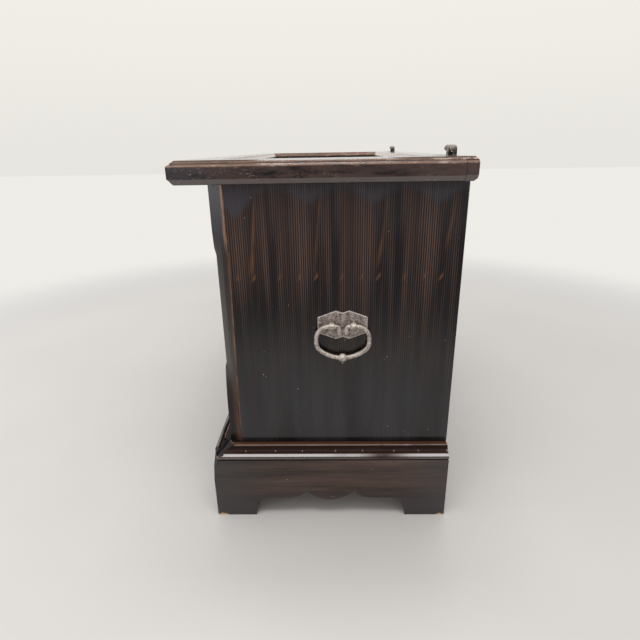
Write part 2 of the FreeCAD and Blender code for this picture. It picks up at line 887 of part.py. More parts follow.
def screw(label, x, y):
    """A countersunk screw, head flush with the leaf."""
    head_depth = s.screw_head_radius - s.screw_shank_radius
    head = doc.addObject("Part::Cone", label + "_head")
    bind(head, "Radius1", s.screw_shank_radius)
    bind(head, "Radius2", s.screw_head_radius)
    bind(head, "Height", head_depth)
    shank = doc.addObject("Part::Cylinder", label + "_shank")
    bind(shank, "Radius", s.screw_shank_radius)
    bind(shank, "Height", s.screw_length - head_depth)
    for piece, level in ((head, chest_top - head_depth), (shank, chest_top - s.screw_length)):
        for axis, place in zip(("x", "y", "z"), (x, y, level)):
            bind(piece, "Placement.Base." + axis, place)
    whole_screw = doc.addObject("Part::Fuse", label)
    whole_screw.Base = head
    whole_screw.Tool = shank
    return whole_screw


knuckle_step = s.knuckle_length + s.knuckle_gap
fixed_stem = rail_front + s.lid_gap / 2
lid_stem = lid_back - s.lid_gap / 2 - s.hinge_stem_thickness
fixed_screw_y = rail_front + s.fixed_screw_setback
lid_screw_y = lid_back - s.lid_screw_setback
for hand, side in SIDES:
    hinge_leaf("hinge_fixed_leaf_" + hand, side, rail_front, s.hinge_fixed_leaf_depth, fixed_stem,
               fixed_screw_y, (-knuckle_step, knuckle_step))
    hinge_leaf("hinge_lid_leaf_" + hand, side, lid_back - s.hinge_lid_leaf_depth, s.hinge_lid_leaf_depth,
               lid_stem, lid_screw_y, (as_size(0),))
    hinge_pin("hinge_pin_" + hand, side)

for label, screw_y in (("hinge_rail_screws", fixed_screw_y), ("hinge_lid_screws", lid_screw_y)):
    screws = []
    for hand, side in SIDES:
        for end in (-1, 1):
            across = (hinge_middle + s.screw_spacing / 2 * end) * side
            screws.append(screw("%s_%s_%d" % (label, hand, end + 1), across, screw_y))
    group(label, screws)


# Handles

rod_radius = s.bail_rod_diameter / 2
bail_bore = rod_radius + s.bail_clearance
eye_radius = bail_bore + s.eye_wall
bail_x = case_half + s.bail_standoff
plate_face = case_half + s.plate_thickness


def handle_plate(hand, side):
    """Plate with two peaks and a notch above and below, bevelled round its face."""
    body = node_body("handle_plate_" + hand)
    half = s.plate_width / 2
    tall = s.plate_height / 2
    back = new_sketch(body, "YZ_Plane", across=handle_middle, up=s.handle_height, out=case_half * side)
    notch = tall * PLATE_NOTCH_SHARE
    peak = half * PLATE_PEAK_SHARE
    corner = tall * PLATE_CORNER_SHARE
    outline(back, [
        (0, -notch),
        (peak, -tall),
        (half, -corner),
        (half, corner),
        (peak, tall),
        (0, notch),
        (-peak, tall),
        (-half, corner),
        (-half, -corner),
        (-peak, -tall),
    ])
    slab = pad(body, back, s.plate_thickness, side < 0)
    doc.recompute()
    rim = []
    for index, edge in enumerate(slab.Shape.Edges, start=1):
        sunk = abs(edge.CenterOfMass.x * side - plate_face.number)
        if sunk < s.plate_bevel.number / 2:
            rim.append("Edge%d" % index)
    bevel = body.newObject("PartDesign::Chamfer", body.Name + "_bevel")
    bevel.Base = (slab, rim)
    bind(bevel, "Size", s.plate_bevel)
    holes = new_sketch(body, "YZ_Plane", across=handle_middle, up=s.handle_height)
    for end in (-1, 1):
        ring(holes, s.eye_spacing / 2 * end, 0, s.eye_shank_radius + s.eye_shank_clearance)
    cut(body, holes, side > 0)


def eye(label, side, offset):
    """Eye with a rounded barrel for the bail, a neck on the plate and a shank through the panel."""
    body = new_body(label)
    across = handle_middle + offset
    shank = new_sketch(body, "XY_Plane", up=across, out=s.handle_height)
    shank_end = inner_half - s.nut_height - s.eye_shank_past_nut
    outline(shank, [
        (shank_end, 0),
        (bail_x, 0),
        (bail_x, s.eye_neck_radius),
        (plate_face, s.eye_neck_radius),
        (plate_face, s.eye_shank_radius),
        (shank_end, s.eye_shank_radius),
    ], side)
    turn(body, shank, "H_Axis")
    barrel = new_sketch(body, "XY_Plane", across=bail_x * side, up=across, out=s.handle_height)
    half = s.eye_length / 2
    flat = half - s.eye_rounding
    rounded = eye_radius - s.eye_rounding
    outline(barrel, [
        (0, -half),
        (rounded, -half, s.eye_rounding, LEFT_TURN),
        (eye_radius, -flat),
        (eye_radius, flat, s.eye_rounding, LEFT_TURN),
        (rounded, half),
        (0, half),
    ])
    turn(body, barrel, "V_Axis")
    bore = new_sketch(body, "XZ_Plane", across=bail_x * side, up=s.handle_height, out=-across - half)
    ring(bore, 0, 0, bail_bore)
    cut(body, bore, True)
    return body


def nut(label, side, offset):
    """Hexagonal nut that holds an eye's shank inside the panel."""
    start = inner_half - s.nut_height if side > 0 else -inner_half
    hexagon = doc.addObject("Part::Prism", label + "_hexagon")
    hexagon.Polygon = 6
    bind(hexagon, "Circumradius", s.nut_radius)
    thread = doc.addObject("Part::Cylinder", label + "_thread")
    bind(thread, "Radius", s.eye_shank_radius + s.eye_shank_clearance)
    for piece in (hexagon, thread):
        bind(piece, "Height", s.nut_height)
        piece.Placement = FreeCAD.Placement(FreeCAD.Vector(), FreeCAD.Rotation(FreeCAD.Vector(0, 1, 0), 90))
        for axis, place in zip(("x", "y", "z"), (start, handle_middle + offset, s.handle_height)):
            bind(piece, "Placement.Base." + axis, place)
    whole_nut = doc.addObject("Part::Cut", label)
    whole_nut.Base = hexagon
    whole_nut.Tool = thread
    return whole_nut


def bail_path():
    """Half of the bail's centre line: a curled tip, a straight run through the eye and a flattened ring."""
    half = s.bail_width / 2 - rod_radius
    widest = s.bail_drop * BAIL_WIDEST_SHARE
    shoulder = half - s.bail_straight
    curl_end = s.bail_tip_offset + s.bail_curl_radius
    inset = half - s.bail_lower_radius
    depth = s.bail_drop - s.bail_lower_radius
    rise = (inset * inset + widest * widest - depth * depth) / ((depth - widest) * 2)
    bottom_radius = rise + s.bail_drop
    reach = bottom_radius / (bottom_radius - s.bail_lower_radius)
    return [
        (s.bail_tip_offset, -s.bail_tip_drop),
        (s.bail_tip_offset, -s.bail_curl_radius, s.bail_curl_radius, RIGHT_TURN),
        (curl_end, 0),
        (s.bail_straight, 0, shoulder, RIGHT_TURN),
        (half, -shoulder),
        (half, -widest, s.bail_lower_radius, RIGHT_TURN),
        (inset * reach, rise - (widest + rise) * reach, bottom_radius, RIGHT_TURN),
    ]


def bail(hand, side):
    """Bail swept along its path, with a ball and a drip point at the bottom and rounded tips."""
    body = node_body("bail_" + hand)
    path = new_sketch(body, "YZ_Plane", across=handle_middle, up=s.handle_height, out=bail_x * side)
    outline(path, whole(bail_path()), closed=False)
    start = new_sketch(
        body, "XY_Plane", across=bail_x * side, up=handle_middle + s.bail_tip_offset,
        out=s.handle_height - s.bail_tip_drop,
    )
    ring(start, 0, 0, rod_radius)
    rod = body.newObject("PartDesign::AdditivePipe", body.Name + "_rod")
    rod.Profile = start
    rod.Spine = (path, [])
    bottom = s.handle_height - s.bail_drop
    ball = new_sketch(body, "YZ_Plane", across=handle_middle, up=bottom, out=bail_x * side)
    outline(ball, [
        (0, s.bail_ball_radius, s.bail_ball_radius, RIGHT_TURN),
        (s.bail_ball_radius, 0, s.bail_ball_radius, RIGHT_TURN),
        (0, -s.bail_ball_radius),
    ])
    turn(body, ball, "V_Axis")
    drip = new_sketch(body, "YZ_Plane", across=handle_middle, up=bottom, out=bail_x * side)
    outline(drip, [
        (0, 0),
        (s.bail_drip_radius * 2, 0),
        (s.bail_drip_radius, -s.bail_ball_radius),
        (s.bail_drip_radius / 2, -s.bail_ball_radius - s.bail_drip_length),
        (0, -s.bail_ball_radius - s.bail_drip_length),
    ])
    turn(body, drip, "V_Axis")
    for end in (-1, 1):
        tip = new_sketch(
            body, "YZ_Plane", across=handle_middle + s.bail_tip_offset * end,
            up=s.handle_height - s.bail_tip_drop, out=bail_x * side,
        )
        outline(tip, [(0, 0), (rod_radius, 0, rod_radius, RIGHT_TURN), (0, -rod_radius)])
        turn(body, tip, "V_Axis")


for hand, side in SIDES:
    handle_plate(hand, side)
    offsets = (-s.eye_spacing / 2, s.eye_spacing / 2)
    group("handle_eyes_" + hand, [eye("eye_%s_%d" % (hand, place), side, offset)
                                  for place, offset in enumerate(offsets)])
    group("handle_nuts_" + hand, [nut("nut_%s_%d" % (hand, place), side, offset)
                                  for place, offset in enumerate(offsets)])
    bail(hand, side)


doc.recompute()
for thing in doc.Objects:
    if "Invalid" in thing.State or "Error" in thing.State:
        raise RuntimeError("%s did not build: %s" % (thing.Name, thing.State))
for node in nodes:
    if node.Shape.isNull() or not node.Shape.isValid():
        raise RuntimeError("%s has no valid shape" % node.Label)
os.makedirs("parts", exist_ok=True)
for node in nodes:
    node.Shape.exportStep("parts/%s.step" % node.Label)
print("%d nodes written" % len(nodes))
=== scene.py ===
import json
import math

import bmesh
import bpy
from mathutils import Matrix, Vector, noise
from mathutils.kdtree import KDTree


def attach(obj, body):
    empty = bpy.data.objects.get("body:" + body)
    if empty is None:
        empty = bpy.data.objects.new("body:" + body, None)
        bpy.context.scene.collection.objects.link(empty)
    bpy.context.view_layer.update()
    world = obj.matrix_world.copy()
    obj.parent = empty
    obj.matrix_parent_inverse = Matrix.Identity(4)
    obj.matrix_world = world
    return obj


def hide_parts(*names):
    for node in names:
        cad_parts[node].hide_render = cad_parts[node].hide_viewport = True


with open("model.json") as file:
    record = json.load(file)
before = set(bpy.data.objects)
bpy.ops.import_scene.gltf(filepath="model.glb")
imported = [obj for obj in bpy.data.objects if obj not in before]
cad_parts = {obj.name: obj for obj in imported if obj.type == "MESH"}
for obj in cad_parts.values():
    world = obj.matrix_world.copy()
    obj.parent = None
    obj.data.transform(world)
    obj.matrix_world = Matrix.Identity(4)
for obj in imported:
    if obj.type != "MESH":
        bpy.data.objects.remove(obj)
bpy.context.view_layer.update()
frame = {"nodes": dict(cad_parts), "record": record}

MM = 0.001
scene = bpy.context.scene
nodes = frame["nodes"]
BODY_OF = {node: body for body, members in frame["record"]["behaviour"]["bodies"].items() for node in members}


# Shader nodes written as arithmetic

BELL_BASE = 2.718
# A Mix node's colour sockets come after those for numbers and vectors.
MIX_SHARE, MIX_ONE, MIX_OTHER, MIX_RESULT = 0, 6, 7, 2


class Val:
    """A value in a shader tree."""

    def __init__(self, net, socket):
        self.net = net
        self.socket = socket

    def __add__(self, other):
        return self.net.math("ADD", self, other)

    __radd__ = __add__

    def __sub__(self, other):
        return self.net.math("SUBTRACT", self, other)

    def __rsub__(self, other):
        return self.net.math("SUBTRACT", other, self)

    def __mul__(self, other):
        return self.net.math("MULTIPLY", self, other)

    __rmul__ = __mul__

    def __truediv__(self, other):
        return self.net.math("DIVIDE", self, other)

    def __neg__(self):
        return self.net.math("MULTIPLY", self, -1.0)


class Net:
    """Builds the nodes of one tree."""

    def __init__(self, tree, material=None):
        self.tree = tree
        self.material = material
        self.shader = tree.nodes.get("Principled BSDF")

    def node(self, kind, **settings):
        made = self.tree.nodes.new(kind)
        for key, value in settings.items():
            setattr(made, key, value)
        return made

    def feed(self, socket, value):
        if isinstance(value, Val):
            self.tree.links.new(value.socket, socket)
        elif hasattr(value, "__len__") and len(value) == 3 and len(socket.default_value) == 4:
            socket.default_value = (*value, 1.0)
        else:
            socket.default_value = value

    def math(self, operation, *values, clamp=False):
        made = self.node("ShaderNodeMath", operation=operation, use_clamp=clamp)
        for socket, value in zip(made.inputs, values):
            self.feed(socket, value)
        return Val(self, made.outputs[0])

    def clamp(self, value):
        return self.math("ADD", value, 0.0, clamp=True)

    def most(self, one, other):
        return self.math("MAXIMUM", one, other)

    def lines(self, across, pitch, shift=0.0):
        """Grain lines at an even pitch, between 0 and 1."""
        return self.math("SINE", across * (2 * math.pi / pitch) + shift) * 0.5 + 0.5

    def step(self, value, low, high):
        """0 at low, 1 at high, with a soft change between."""
        made = self.node("ShaderNodeMapRange", interpolation_type="SMOOTHSTEP")
        for name, given in (("Value", value), ("From Min", low), ("From Max", high)):
            self.feed(made.inputs[name], given)
        return Val(self, made.outputs["Result"])

    def bell(self, squares):
        """1 where the sum of squares is 0, falling away from there."""
        return self.math("POWER", BELL_BASE, -squares)

    def hump(self, value, centre, width):
        """1 at centre, falling away on both sides."""
        off = (value - centre) / width
        return self.bell(off * off)

    def vector(self, x, y, z):
        made = self.node("ShaderNodeCombineXYZ")
        for socket, value in zip(made.inputs, (x, y, z)):
            self.feed(socket, value)
        return Val(self, made.outputs[0])

    def noise(self, where, scale=1.0, detail=2.0, roughness=0.5):
        made = self.node("ShaderNodeTexNoise")
        self.feed(made.inputs["Vector"], where)
        for name, value in (("Scale", scale), ("Detail", detail), ("Roughness", roughness)):
            made.inputs[name].default_value = value
        return Val(self, made.outputs[0])

    def cloud(self, values, pattern, seed=0.0):
        """Noise over one to three values, each at its own rate. The seed shifts the next or the last axis."""
        rates, detail, roughness = pattern
        scaled = [value * rate for value, rate in zip(values, rates)]
        if len(scaled) == 3:
            scaled[2] = scaled[2] + seed
        else:
            scaled.append(seed)
        scaled += [0.0] * (3 - len(scaled))
        return self.noise(self.vector(*scaled), detail=detail, roughness=roughness)

    def cells(self, where, scale):
        """The distance to the middle of the nearest cell."""
        made = self.node("ShaderNodeTexVoronoi", feature="F1")
        self.feed(made.inputs["Vector"], where)
        made.inputs["Scale"].default_value = scale
        return Val(self, made.outputs["Distance"])

    def coordinates(self, kind):
        """One of the texture coordinates, as three values."""
        made = self.node("ShaderNodeTexCoord")
        split = self.node("ShaderNodeSeparateXYZ")
        self.tree.links.new(made.outputs[kind], split.inputs[0])
        return {axis: Val(self, split.outputs[axis]) for axis in "XYZ"}

    def place(self):
        """The point's place in the part's own frame."""
        return self.coordinates("Object")

    def facing(self):
        """The surface's direction in the part's own frame."""
        return self.coordinates("Normal")

    def mark(self, name):
        """A value that the mesh carries on its faces."""
        made = self.node("ShaderNodeAttribute", attribute_name=name)
        return Val(self, made.outputs["Fac"])

    def mix(self, share, one, other):
        made = self.node("ShaderNodeMix", data_type="RGBA", blend_type="MIX")
        for index, value in ((MIX_SHARE, share), (MIX_ONE, one), (MIX_OTHER, other)):
            self.feed(made.inputs[index], value)
        return Val(self, made.outputs[MIX_RESULT])

    def ramp(self, value, stops):
        made = self.node("ShaderNodeValToRGB")
        self.feed(made.inputs[0], value)
        points = made.color_ramp.elements
        while len(points) < len(stops):
            points.new(0.5)
        for point, (at, colour) in zip(points, stops):
            point.position = at
            point.color = (*colour, 1.0)
        return Val(self, made.outputs[0])

    def bump(self, height, distance, before=None):
        made = self.node("ShaderNodeBump")
        made.inputs["Distance"].default_value = distance
        self.feed(made.inputs["Height"], height)
        if before:
            self.feed(made.inputs["Normal"], before)
        return Val(self, made.outputs[0])


def pattern(*rates, detail=2.0, roughness=0.5):
    """Settings for Net.cloud: the rate per metre along each axis, and the noise's detail and roughness."""
    return rates, detail, roughness


def new_material(name):
    """A new material, as the net of its nodes."""
    material = bpy.data.materials.new(name)
    material.use_nodes = True
    return Net(material.node_tree, material)


SHINE = 0.5


def surface(net, constants, colour, roughness, normal, shine=SHINE):
    """Feed the material's one shader: constants on its own sockets, and these four from the nodes."""
    for socket, value in constants.items():
        net.shader.inputs[socket].default_value = value
    for socket, value in (
        ("Base Color", colour), ("Roughness", roughness), ("Normal", normal), ("Specular IOR Level", shine),
    ):
        net.feed(net.shader.inputs[socket], value)
    return net.material


# Values that the lacquered woods share

CASE_TOP = 554 * MM
CASE_HALF = 385 * MM
CASE_FRONT = 163 * MM
HAZE = pattern(11.0, 11.0, 11.0, detail=3.0)
LACQUER = {"IOR": 1.5}
WORN_ORANGE = (0.34, 0.155, 0.068)
WORN_PALE = (0.52, 0.36, 0.25)
SPECK_CELLS = 62.0
SPECK_CHANCE = 37.0
SPECK_EDGE = (0.075, 0.035)


def specks_on(net, colour, point, amount):
    """A few pale specks where the lacquer is chipped; also gives their mask."""
    where = net.vector(*point)
    chance = net.noise(where, SPECK_CHANCE, detail=0.0)
    rare = 0.60 - 0.12 * amount
    speck = net.step(net.cells(where, SPECK_CELLS), *SPECK_EDGE) * net.step(chance, rare, rare + 0.06)
    return net.mix(speck * 0.6, colour, WORN_PALE), speck


# The end panels: their veneer repeats in leaves. A fade holds where it begins and is full, a spot its middle and
# half width.

LEAF_WIDTH = 92.0 * MM
LEAF_START = -126.3 * MM
LEAF_PITCH = 3.25 * MM
LEAF_WANDER = pattern(16.0, 2.4, detail=1.0)
LEAF_BEAT = pattern(110.0, 1.2, detail=1.0)
LEAF_FIBRE = pattern(800.0, 8.0, detail=3.0, roughness=0.6)
LEAF_STRENGTH = pattern(75.0, 3.5, detail=1.0)
LEAF_BROAD = pattern(15.0, 4.0)
UPPER_FADE = (300 * MM, 500 * MM)
HEAD_REFLECTION_FADE = (466 * MM, 502 * MM)
HOLLOW_SPOT = (45 * MM, 11 * MM)
BAND_SPOT = (70.5 * MM, 8.0 * MM)
BAND_FADE = (380 * MM, 510 * MM)
PANEL_DARK = (0.0030, 0.0028, 0.0036)
PANEL_HAZE = (0.0080, 0.0078, 0.0100)
# A painted bluish-grey reflection at the head of the panel, under the lid.
PANEL_HEAD_REFLECTION = (0.0170, 0.0163, 0.0185)
PANEL_STRIPE = (0.160, 0.092, 0.066)
PANEL_WASH = (0.056, 0.031, 0.021)
PANEL_STREAK = (0.215, 0.094, 0.040)
# The knots of a leaf: each a place across it and a strength.
KNOTS = ((0.0, 0.6), (23.8 * MM, 1.0), (62.2 * MM, 0.55), (92.0 * MM, 0.6))
KNOT_HEIGHT = 418.8 * MM
KNOT_SHIFT = pattern(31.0, detail=0.0)
KNOT_SHIFT_SIZE = 9.0 * MM
KNOT_SIZE = (1.9 * MM, 4.6 * MM)
STREAK_FOOT = 20.5 * MM
STREAK_RISE = 34.0 * MM
STREAK_START_FADE = (408 * MM, 440 * MM)
STREAK_END_FADE = (553 * MM, 510 * MM)
STREAK_WIDTH_FADE = (545 * MM, 425 * MM)
STREAK_PATCHES = pattern(40.0, 17.0)


def leaf_knots(net, u, y, z, seed):
    """Small orange knots in a row across the panel."""
    high = z - KNOT_HEIGHT + (net.cloud((y,), KNOT_SHIFT, seed) - 0.5) * KNOT_SHIFT_SIZE
    knots = 0.0
    for centre, share in KNOTS:
        off_u = (u - centre - high * 0.45 + high * high * 28.0) / KNOT_SIZE[0]
        off_z = high / KNOT_SIZE[1]
        knots = net.bell(off_u * off_u + off_z * off_z) * share + knots
    return knots


def leaf_streak(net, u, z, leaf, lines, seed):
    """The orange streak that leans up each leaf, weaker and higher in the later leaves."""
    later = net.clamp((leaf - 1.0) * 0.5)
    lean = (z - KNOT_HEIGHT) * (later * 0.06 + 0.09) + STREAK_FOOT
    reach = net.step(z - later * STREAK_RISE, *STREAK_START_FADE) * net.step(z, *STREAK_END_FADE)
    wide = (net.step(z, *STREAK_WIDTH_FADE) * 1.9 + 1.0) * MM
    off = (u - lean) / wide
    patchy = net.cloud((u, z), STREAK_PATCHES, leaf * 3.7 + seed)
    bold = (1.0 - later * 0.45) * (net.step(patchy, 0.30, 0.62) * 0.75 + 0.25) * (lines * 0.5 + 0.55)
    return net.bell(off * off) * reach * bold


def end_veneer(net, y, z, seed):
    """The striped veneer: its colour, the grain's lines and the fibre."""
    leaf = net.math("FLOOR", (y - LEAF_START) / LEAF_WIDTH)
    u = net.math("FLOORED_MODULO", y - LEAF_START, LEAF_WIDTH)
    knots = leaf_knots(net, u, y, z, seed)
    wander = net.cloud((u, z), LEAF_WANDER, seed) - 0.5
    rings = u + wander * (3.2 * MM) + knots * (1.6 * MM)
    beat = net.cloud((rings, z), LEAF_BEAT, seed * 1.7) - 0.5
    lines = net.lines(rings, LEAF_PITCH, beat * 2.2)
    fibre = net.cloud((rings, z), LEAF_FIBRE, leaf + seed)
    strength = net.cloud((rings, z), LEAF_STRENGTH, seed + 4.0)
    broad = net.cloud((y, z), LEAF_BROAD, seed * 2.3)
    upper = net.step(z, *UPPER_FADE)
    clarity = upper * 0.78 + 0.22
    hollow = net.hump(u, *HOLLOW_SPOT) * net.clamp(leaf * 0.5) * upper
    stripe = net.step(lines, 0.15, 0.82) * (fibre * 0.8 + 0.55) * (net.step(strength, 0.32, 0.66) * 0.88 + 0.20)
    ground = net.mix(upper, PANEL_DARK, PANEL_HAZE)
    # Painted bluish-grey reflection at the head, under the lid.
    ground = net.mix(net.step(z, *HEAD_REFLECTION_FADE), ground, PANEL_HEAD_REFLECTION)
    colour = net.mix(net.clamp(stripe * clarity * (1.0 - hollow * 0.65)), ground, PANEL_STRIPE)
    band = net.hump(u, *BAND_SPOT) * net.step(z, *BAND_FADE)
    wash = (band * 0.55 + net.step(broad, 0.42, 0.70) * 0.40) * clarity * (1.0 - hollow)
    colour = net.mix(net.clamp(wash * (fibre * 0.6 + 0.6)), colour, PANEL_WASH)
    streak = leaf_streak(net, u, z, leaf, lines, seed)
    colour = net.mix(net.clamp(streak * (fibre * 0.9 + 0.35)), colour, PANEL_STREAK)
    colour = net.mix(net.clamp(knots * (fibre * 1.1 + 0.15)), colour, PANEL_STREAK)
    return colour, lines, fibre


# A painted bluish reflection under the lid: its colour, and where its scallops hang.
PAINTED_REFLECTION = (0.072, 0.073, 0.086)
REFLECTION_SHIFT = 34 * MM
REFLECTION_SPOT = (46 * MM, 21 * MM)
REFLECTION_FIRST_SPOT = (-128 * MM, 17 * MM)
REFLECTION_TOP_FADE = (0.0, 18 * MM)
# A painted grey reflection of the floor over the lower panel.
FLOOR_REFLECTION = pattern(34.0, 5.0, detail=3.0)
FLOOR_REFLECTION_COLOURS = ((0.0050, 0.0048, 0.0062), (0.0215, 0.0215, 0.0262))
FLOOR_REFLECTION_FADE = (330 * MM, 200 * MM)
# Painted shade on the panel beside the handle.
HANDLE_SHADE = (0.0022, 0.0021, 0.0026)
HANDLE_SHADE_SPOT = (345 * MM, 52 * MM)
HANDLE_SHADE_FADE = (45 * MM, -25 * MM)


def end_painted_light(net, colour, y, z, seed):
    """Painted light on the veneer: a bluish reflection under the lid, a grey reflection of the floor low down and
    shade beside the handle.

    The painted reflection under the lid hangs in one scallop for each leaf, with a larger one by the hewn corner.
    """
    # The painted bluish reflection under the lid, in one scallop for each leaf.
    across = net.math("FLOORED_MODULO", y - LEAF_START + REFLECTION_SHIFT, LEAF_WIDTH)
    first = net.hump(y, *REFLECTION_FIRST_SPOT)
    hang = (net.hump(across, *REFLECTION_SPOT) * 19.0 + first * 22.0 + 6.0) * MM
    below = CASE_TOP - z
    reflection_mask = net.step(below, hang + 11 * MM, hang - 5 * MM) * (net.step(below, *REFLECTION_TOP_FADE) * 0.5 + 0.5)
    colour = net.mix(reflection_mask * (first * 0.20 + 0.62), colour, PAINTED_REFLECTION)
    # The painted grey reflection of the floor, low down on the panel.
    shade = net.cloud((y, z), FLOOR_REFLECTION, seed * 3.3)
    floor_reflection = net.mix(net.step(shade, 0.34, 0.66), *FLOOR_REFLECTION_COLOURS)
    colour = net.mix(net.step(z, *FLOOR_REFLECTION_FADE) * 0.70, colour, floor_reflection)
    # Painted shade beside the handle.
    handle_shade = net.hump(z, *HANDLE_SHADE_SPOT) * (net.step(y, *HANDLE_SHADE_FADE) * 0.34)
    return net.mix(handle_shade, colour, HANDLE_SHADE)


FACET_CLOUD = pattern(30.0, 60.0, 16.0, detail=3.0)
FACET_FINE = pattern(500.0, 500.0, 22.0, detail=3.0)
FACET_HEAD_FADE = (448 * MM, 492 * MM)
FACET_FOOT_FADE = (258 * MM, 228 * MM)
FACET_BARE_FADE = (-156 * MM, -144 * MM)
FACET_ARRIS_FADE = (380.6 * MM, 383.4 * MM)
FACET_HEAD = (0.025, 0.024, 0.027)
FACET_WAIST = (0.021, 0.0135, 0.0100)
FACET_FOOT = (0.0095, 0.0068, 0.0056)
FACET_BARE = (0.14, 0.058, 0.024)
FACET_DARK = (0.012, 0.009, 0.008)
ARRIS_PALE = ((0.24, 0.115, 0.055), (0.50, 0.29, 0.16))
ARRIS_BROWN = ((0.035, 0.018, 0.011), (0.095, 0.045, 0.024))


def hewn_facets(net, point, seed, hewn, head, foot):
    """The hewn corner: blue-grey at the head, warm grey at the waist and bare orange wood at the foot."""
    x, y, _ = point
    cloud = net.cloud(point, FACET_CLOUD, seed)
    fine = net.cloud(point, FACET_FINE, seed)
    colour = net.mix(head, FACET_WAIST, FACET_HEAD)
    colour = net.mix(foot, colour, FACET_FOOT)
    bare = foot * net.step(y, *FACET_BARE_FADE)
    colour = net.mix(bare * (fine * 0.8 + 0.05), colour, FACET_BARE)
    colour = net.mix(net.step(cloud, 0.45, 0.75) * 0.5, colour, FACET_DARK)
    arris = net.step(net.math("ABSOLUTE", x), *FACET_ARRIS_FADE) * hewn
    split = net.step(fine, 0.40, 0.62)
    worn = net.mix(head, net.mix(split, *ARRIS_BROWN), net.mix(split, *ARRIS_PALE))
    return net.mix(arris * (cloud * 0.5 + 0.6), colour, worn)


END_BREAKS = pattern(26.0, 90.0, 90.0, detail=3.0, roughness=0.6)
END_WAVE = pattern(16.0, 12.0, 5.0, detail=1.0)
END_RUB = ((0.20, 0.088, 0.038), (0.50, 0.25, 0.125))
END_RUB_DULL = (0.055, 0.028, 0.016)
END_DIM_FADE = (280 * MM, 385 * MM)
END_BRIGHT_FADE = (430 * MM, 510 * MM)


def end_wood(name, seed):
    """The end panels: dark striped veneer in repeating leaves, and the hewn corner's facets."""
    net = new_material(name)
    place = net.place()
    x, y, z = point = (place["X"], place["Y"], place["Z"])
    colour, lines, fibre = end_veneer(net, y, z, seed)
    colour = end_painted_light(net, colour, y, z, seed)
    hewn = net.mark("hewn")
    head = net.step(z, *FACET_HEAD_FADE)
    foot = net.step(z, *FACET_FOOT_FADE)
    colour = net.mix(hewn, colour, hewn_facets(net, point, seed, hewn, head, foot))
    breaks = net.cloud((z, y, x), END_BREAKS, seed)
    rub = net.mark("edge") * net.step(breaks, 0.30, 0.52)
    warm = net.mix(net.step(breaks, 0.44, 0.70), *END_RUB)
    warm = net.mix(head, net.mix(0.62, warm, END_RUB_DULL), warm)
    colour = net.mix(rub * 0.92, colour, warm)
    colour, speck = specks_on(net, colour, point, 1.0)
    haze = net.cloud(point, HAZE, seed)
    roughness = haze * 0.10 + lines * 0.03 + rub * 0.2 + hewn * 0.12 + 0.10
    dim = net.step(z, *END_DIM_FADE) * 0.20 - net.step(z, *END_BRIGHT_FADE) * 0.10
    shine = SHINE - dim * (1.0 - hewn) - hewn * (1.0 - head) * (foot * 0.14 + 0.17)
    relief = (lines * 0.5 + fibre * 0.35) * (1.0 - hewn) - speck
    normal = net.bump(relief, 0.04 * MM)
    normal = net.bump(net.cloud(point, END_WAVE, seed), 0.5 * MM, normal)
    return surface(net, LACQUER, colour, roughness, normal, shine)


# The other lacquered boards. A board's axes run along its grain, across it and through it.

LONG_BOARD = ("X", "Z", "Y")
END_BOARD = ("Y", "Z", "X")
LONG_RAIL = ("X", "Y", "Z")
END_RAIL = ("Y", "X", "Z")
POST = ("Z", "X", "Y")

DARK_STOPS = (
    (0.0, (0.0020, 0.0017, 0.0018)),
    (0.34, (0.0060, 0.0036, 0.0028)),
    (0.58, (0.026, 0.0115, 0.0058)),
    (0.80, (0.070, 0.029, 0.0120)),
    (1.0, (0.170, 0.070, 0.028)),
)
RING_PITCH = 5.2 * MM
RING_WANDER = 9.0 * MM
WANDER = pattern(9.0, 9.0, 2.6)
BEAT = pattern(120.0, 1.3, detail=1.0)
FIBRE = pattern(800.0, 800.0, 9.0, detail=3.0, roughness=0.6)
STRENGTH = pattern(60.0, 3.0)
BROAD = pattern(24.0, 14.0, 2.4)
SCUFF = pattern(26.0, 120.0, 120.0, detail=4.0, roughness=0.65)
STREAKS = pattern(95.0, 40.0, 4.2, detail=3.0, roughness=0.6)
SOFT = pattern(42.0, 20.0, 4.5, detail=3.0, roughness=0.55)
SOFT_WANDER = 1.5 / 42.0
SCRATCH = pattern(330.0, 520.0, 520.0, detail=3.0, roughness=0.7)
SCRATCH_PLACES = pattern(26.0, 45.0, 45.0)
BREAKS = pattern(42.0, 150.0, 150.0, detail=3.0, roughness=0.65)
SLOW_WAVE = pattern(7.0, 16.0, 16.0, detail=1.0)
# Fades over the upward part of the surface's direction: level tops, slanted and level undersides.
LEVEL_FADE = (0.75, 0.97)
SLANT_FADE = (-0.25, -0.55)
UNDER_FADE = (-0.85, -0.97)
NOT_UNDER_FADE = (-0.97, -0.85)
LEVEL_ROUGHNESS = 0.13
DUST_FILM = (0.088, 0.055, 0.046)
# A painted reflection of the floor on slanted undersides, set by dust.
SLANT_FLOOR_REFLECTION = (0.150, 0.123, 0.116)
DUST_UNDER = (0.040, 0.024, 0.018)
WASH_BROWN = (0.112, 0.064, 0.051)
NICK_PALE = (0.34, 0.27, 0.23)
HEWN_BLACK = (0.0060, 0.0060, 0.0078)
# Dirt and painted shade for the base moulding's cove.
GRIME_AND_SHADE = (0.018, 0.0070, 0.0048)
BARE_WOOD = ((0.62, 0.43, 0.24), (0.36, 0.19, 0.075))

RAGGED = pattern(160.0, 160.0, 160.0)
CHIP_EDGE = 0.6 * MM


def chips_in(net, chips, point, z):
    """The mask of the bare chips along a board's lower edge."""
    mask = 0.0
    for at, half, tall in chips:
        off = (point[0] - at) / half
        reach = (1.0 - off * off) * tall * (net.cloud(point, RAGGED) * 1.4 + 0.3)
        mask = net.most(net.step(reach - z, 0.0, CHIP_EDGE), mask)
    return mask


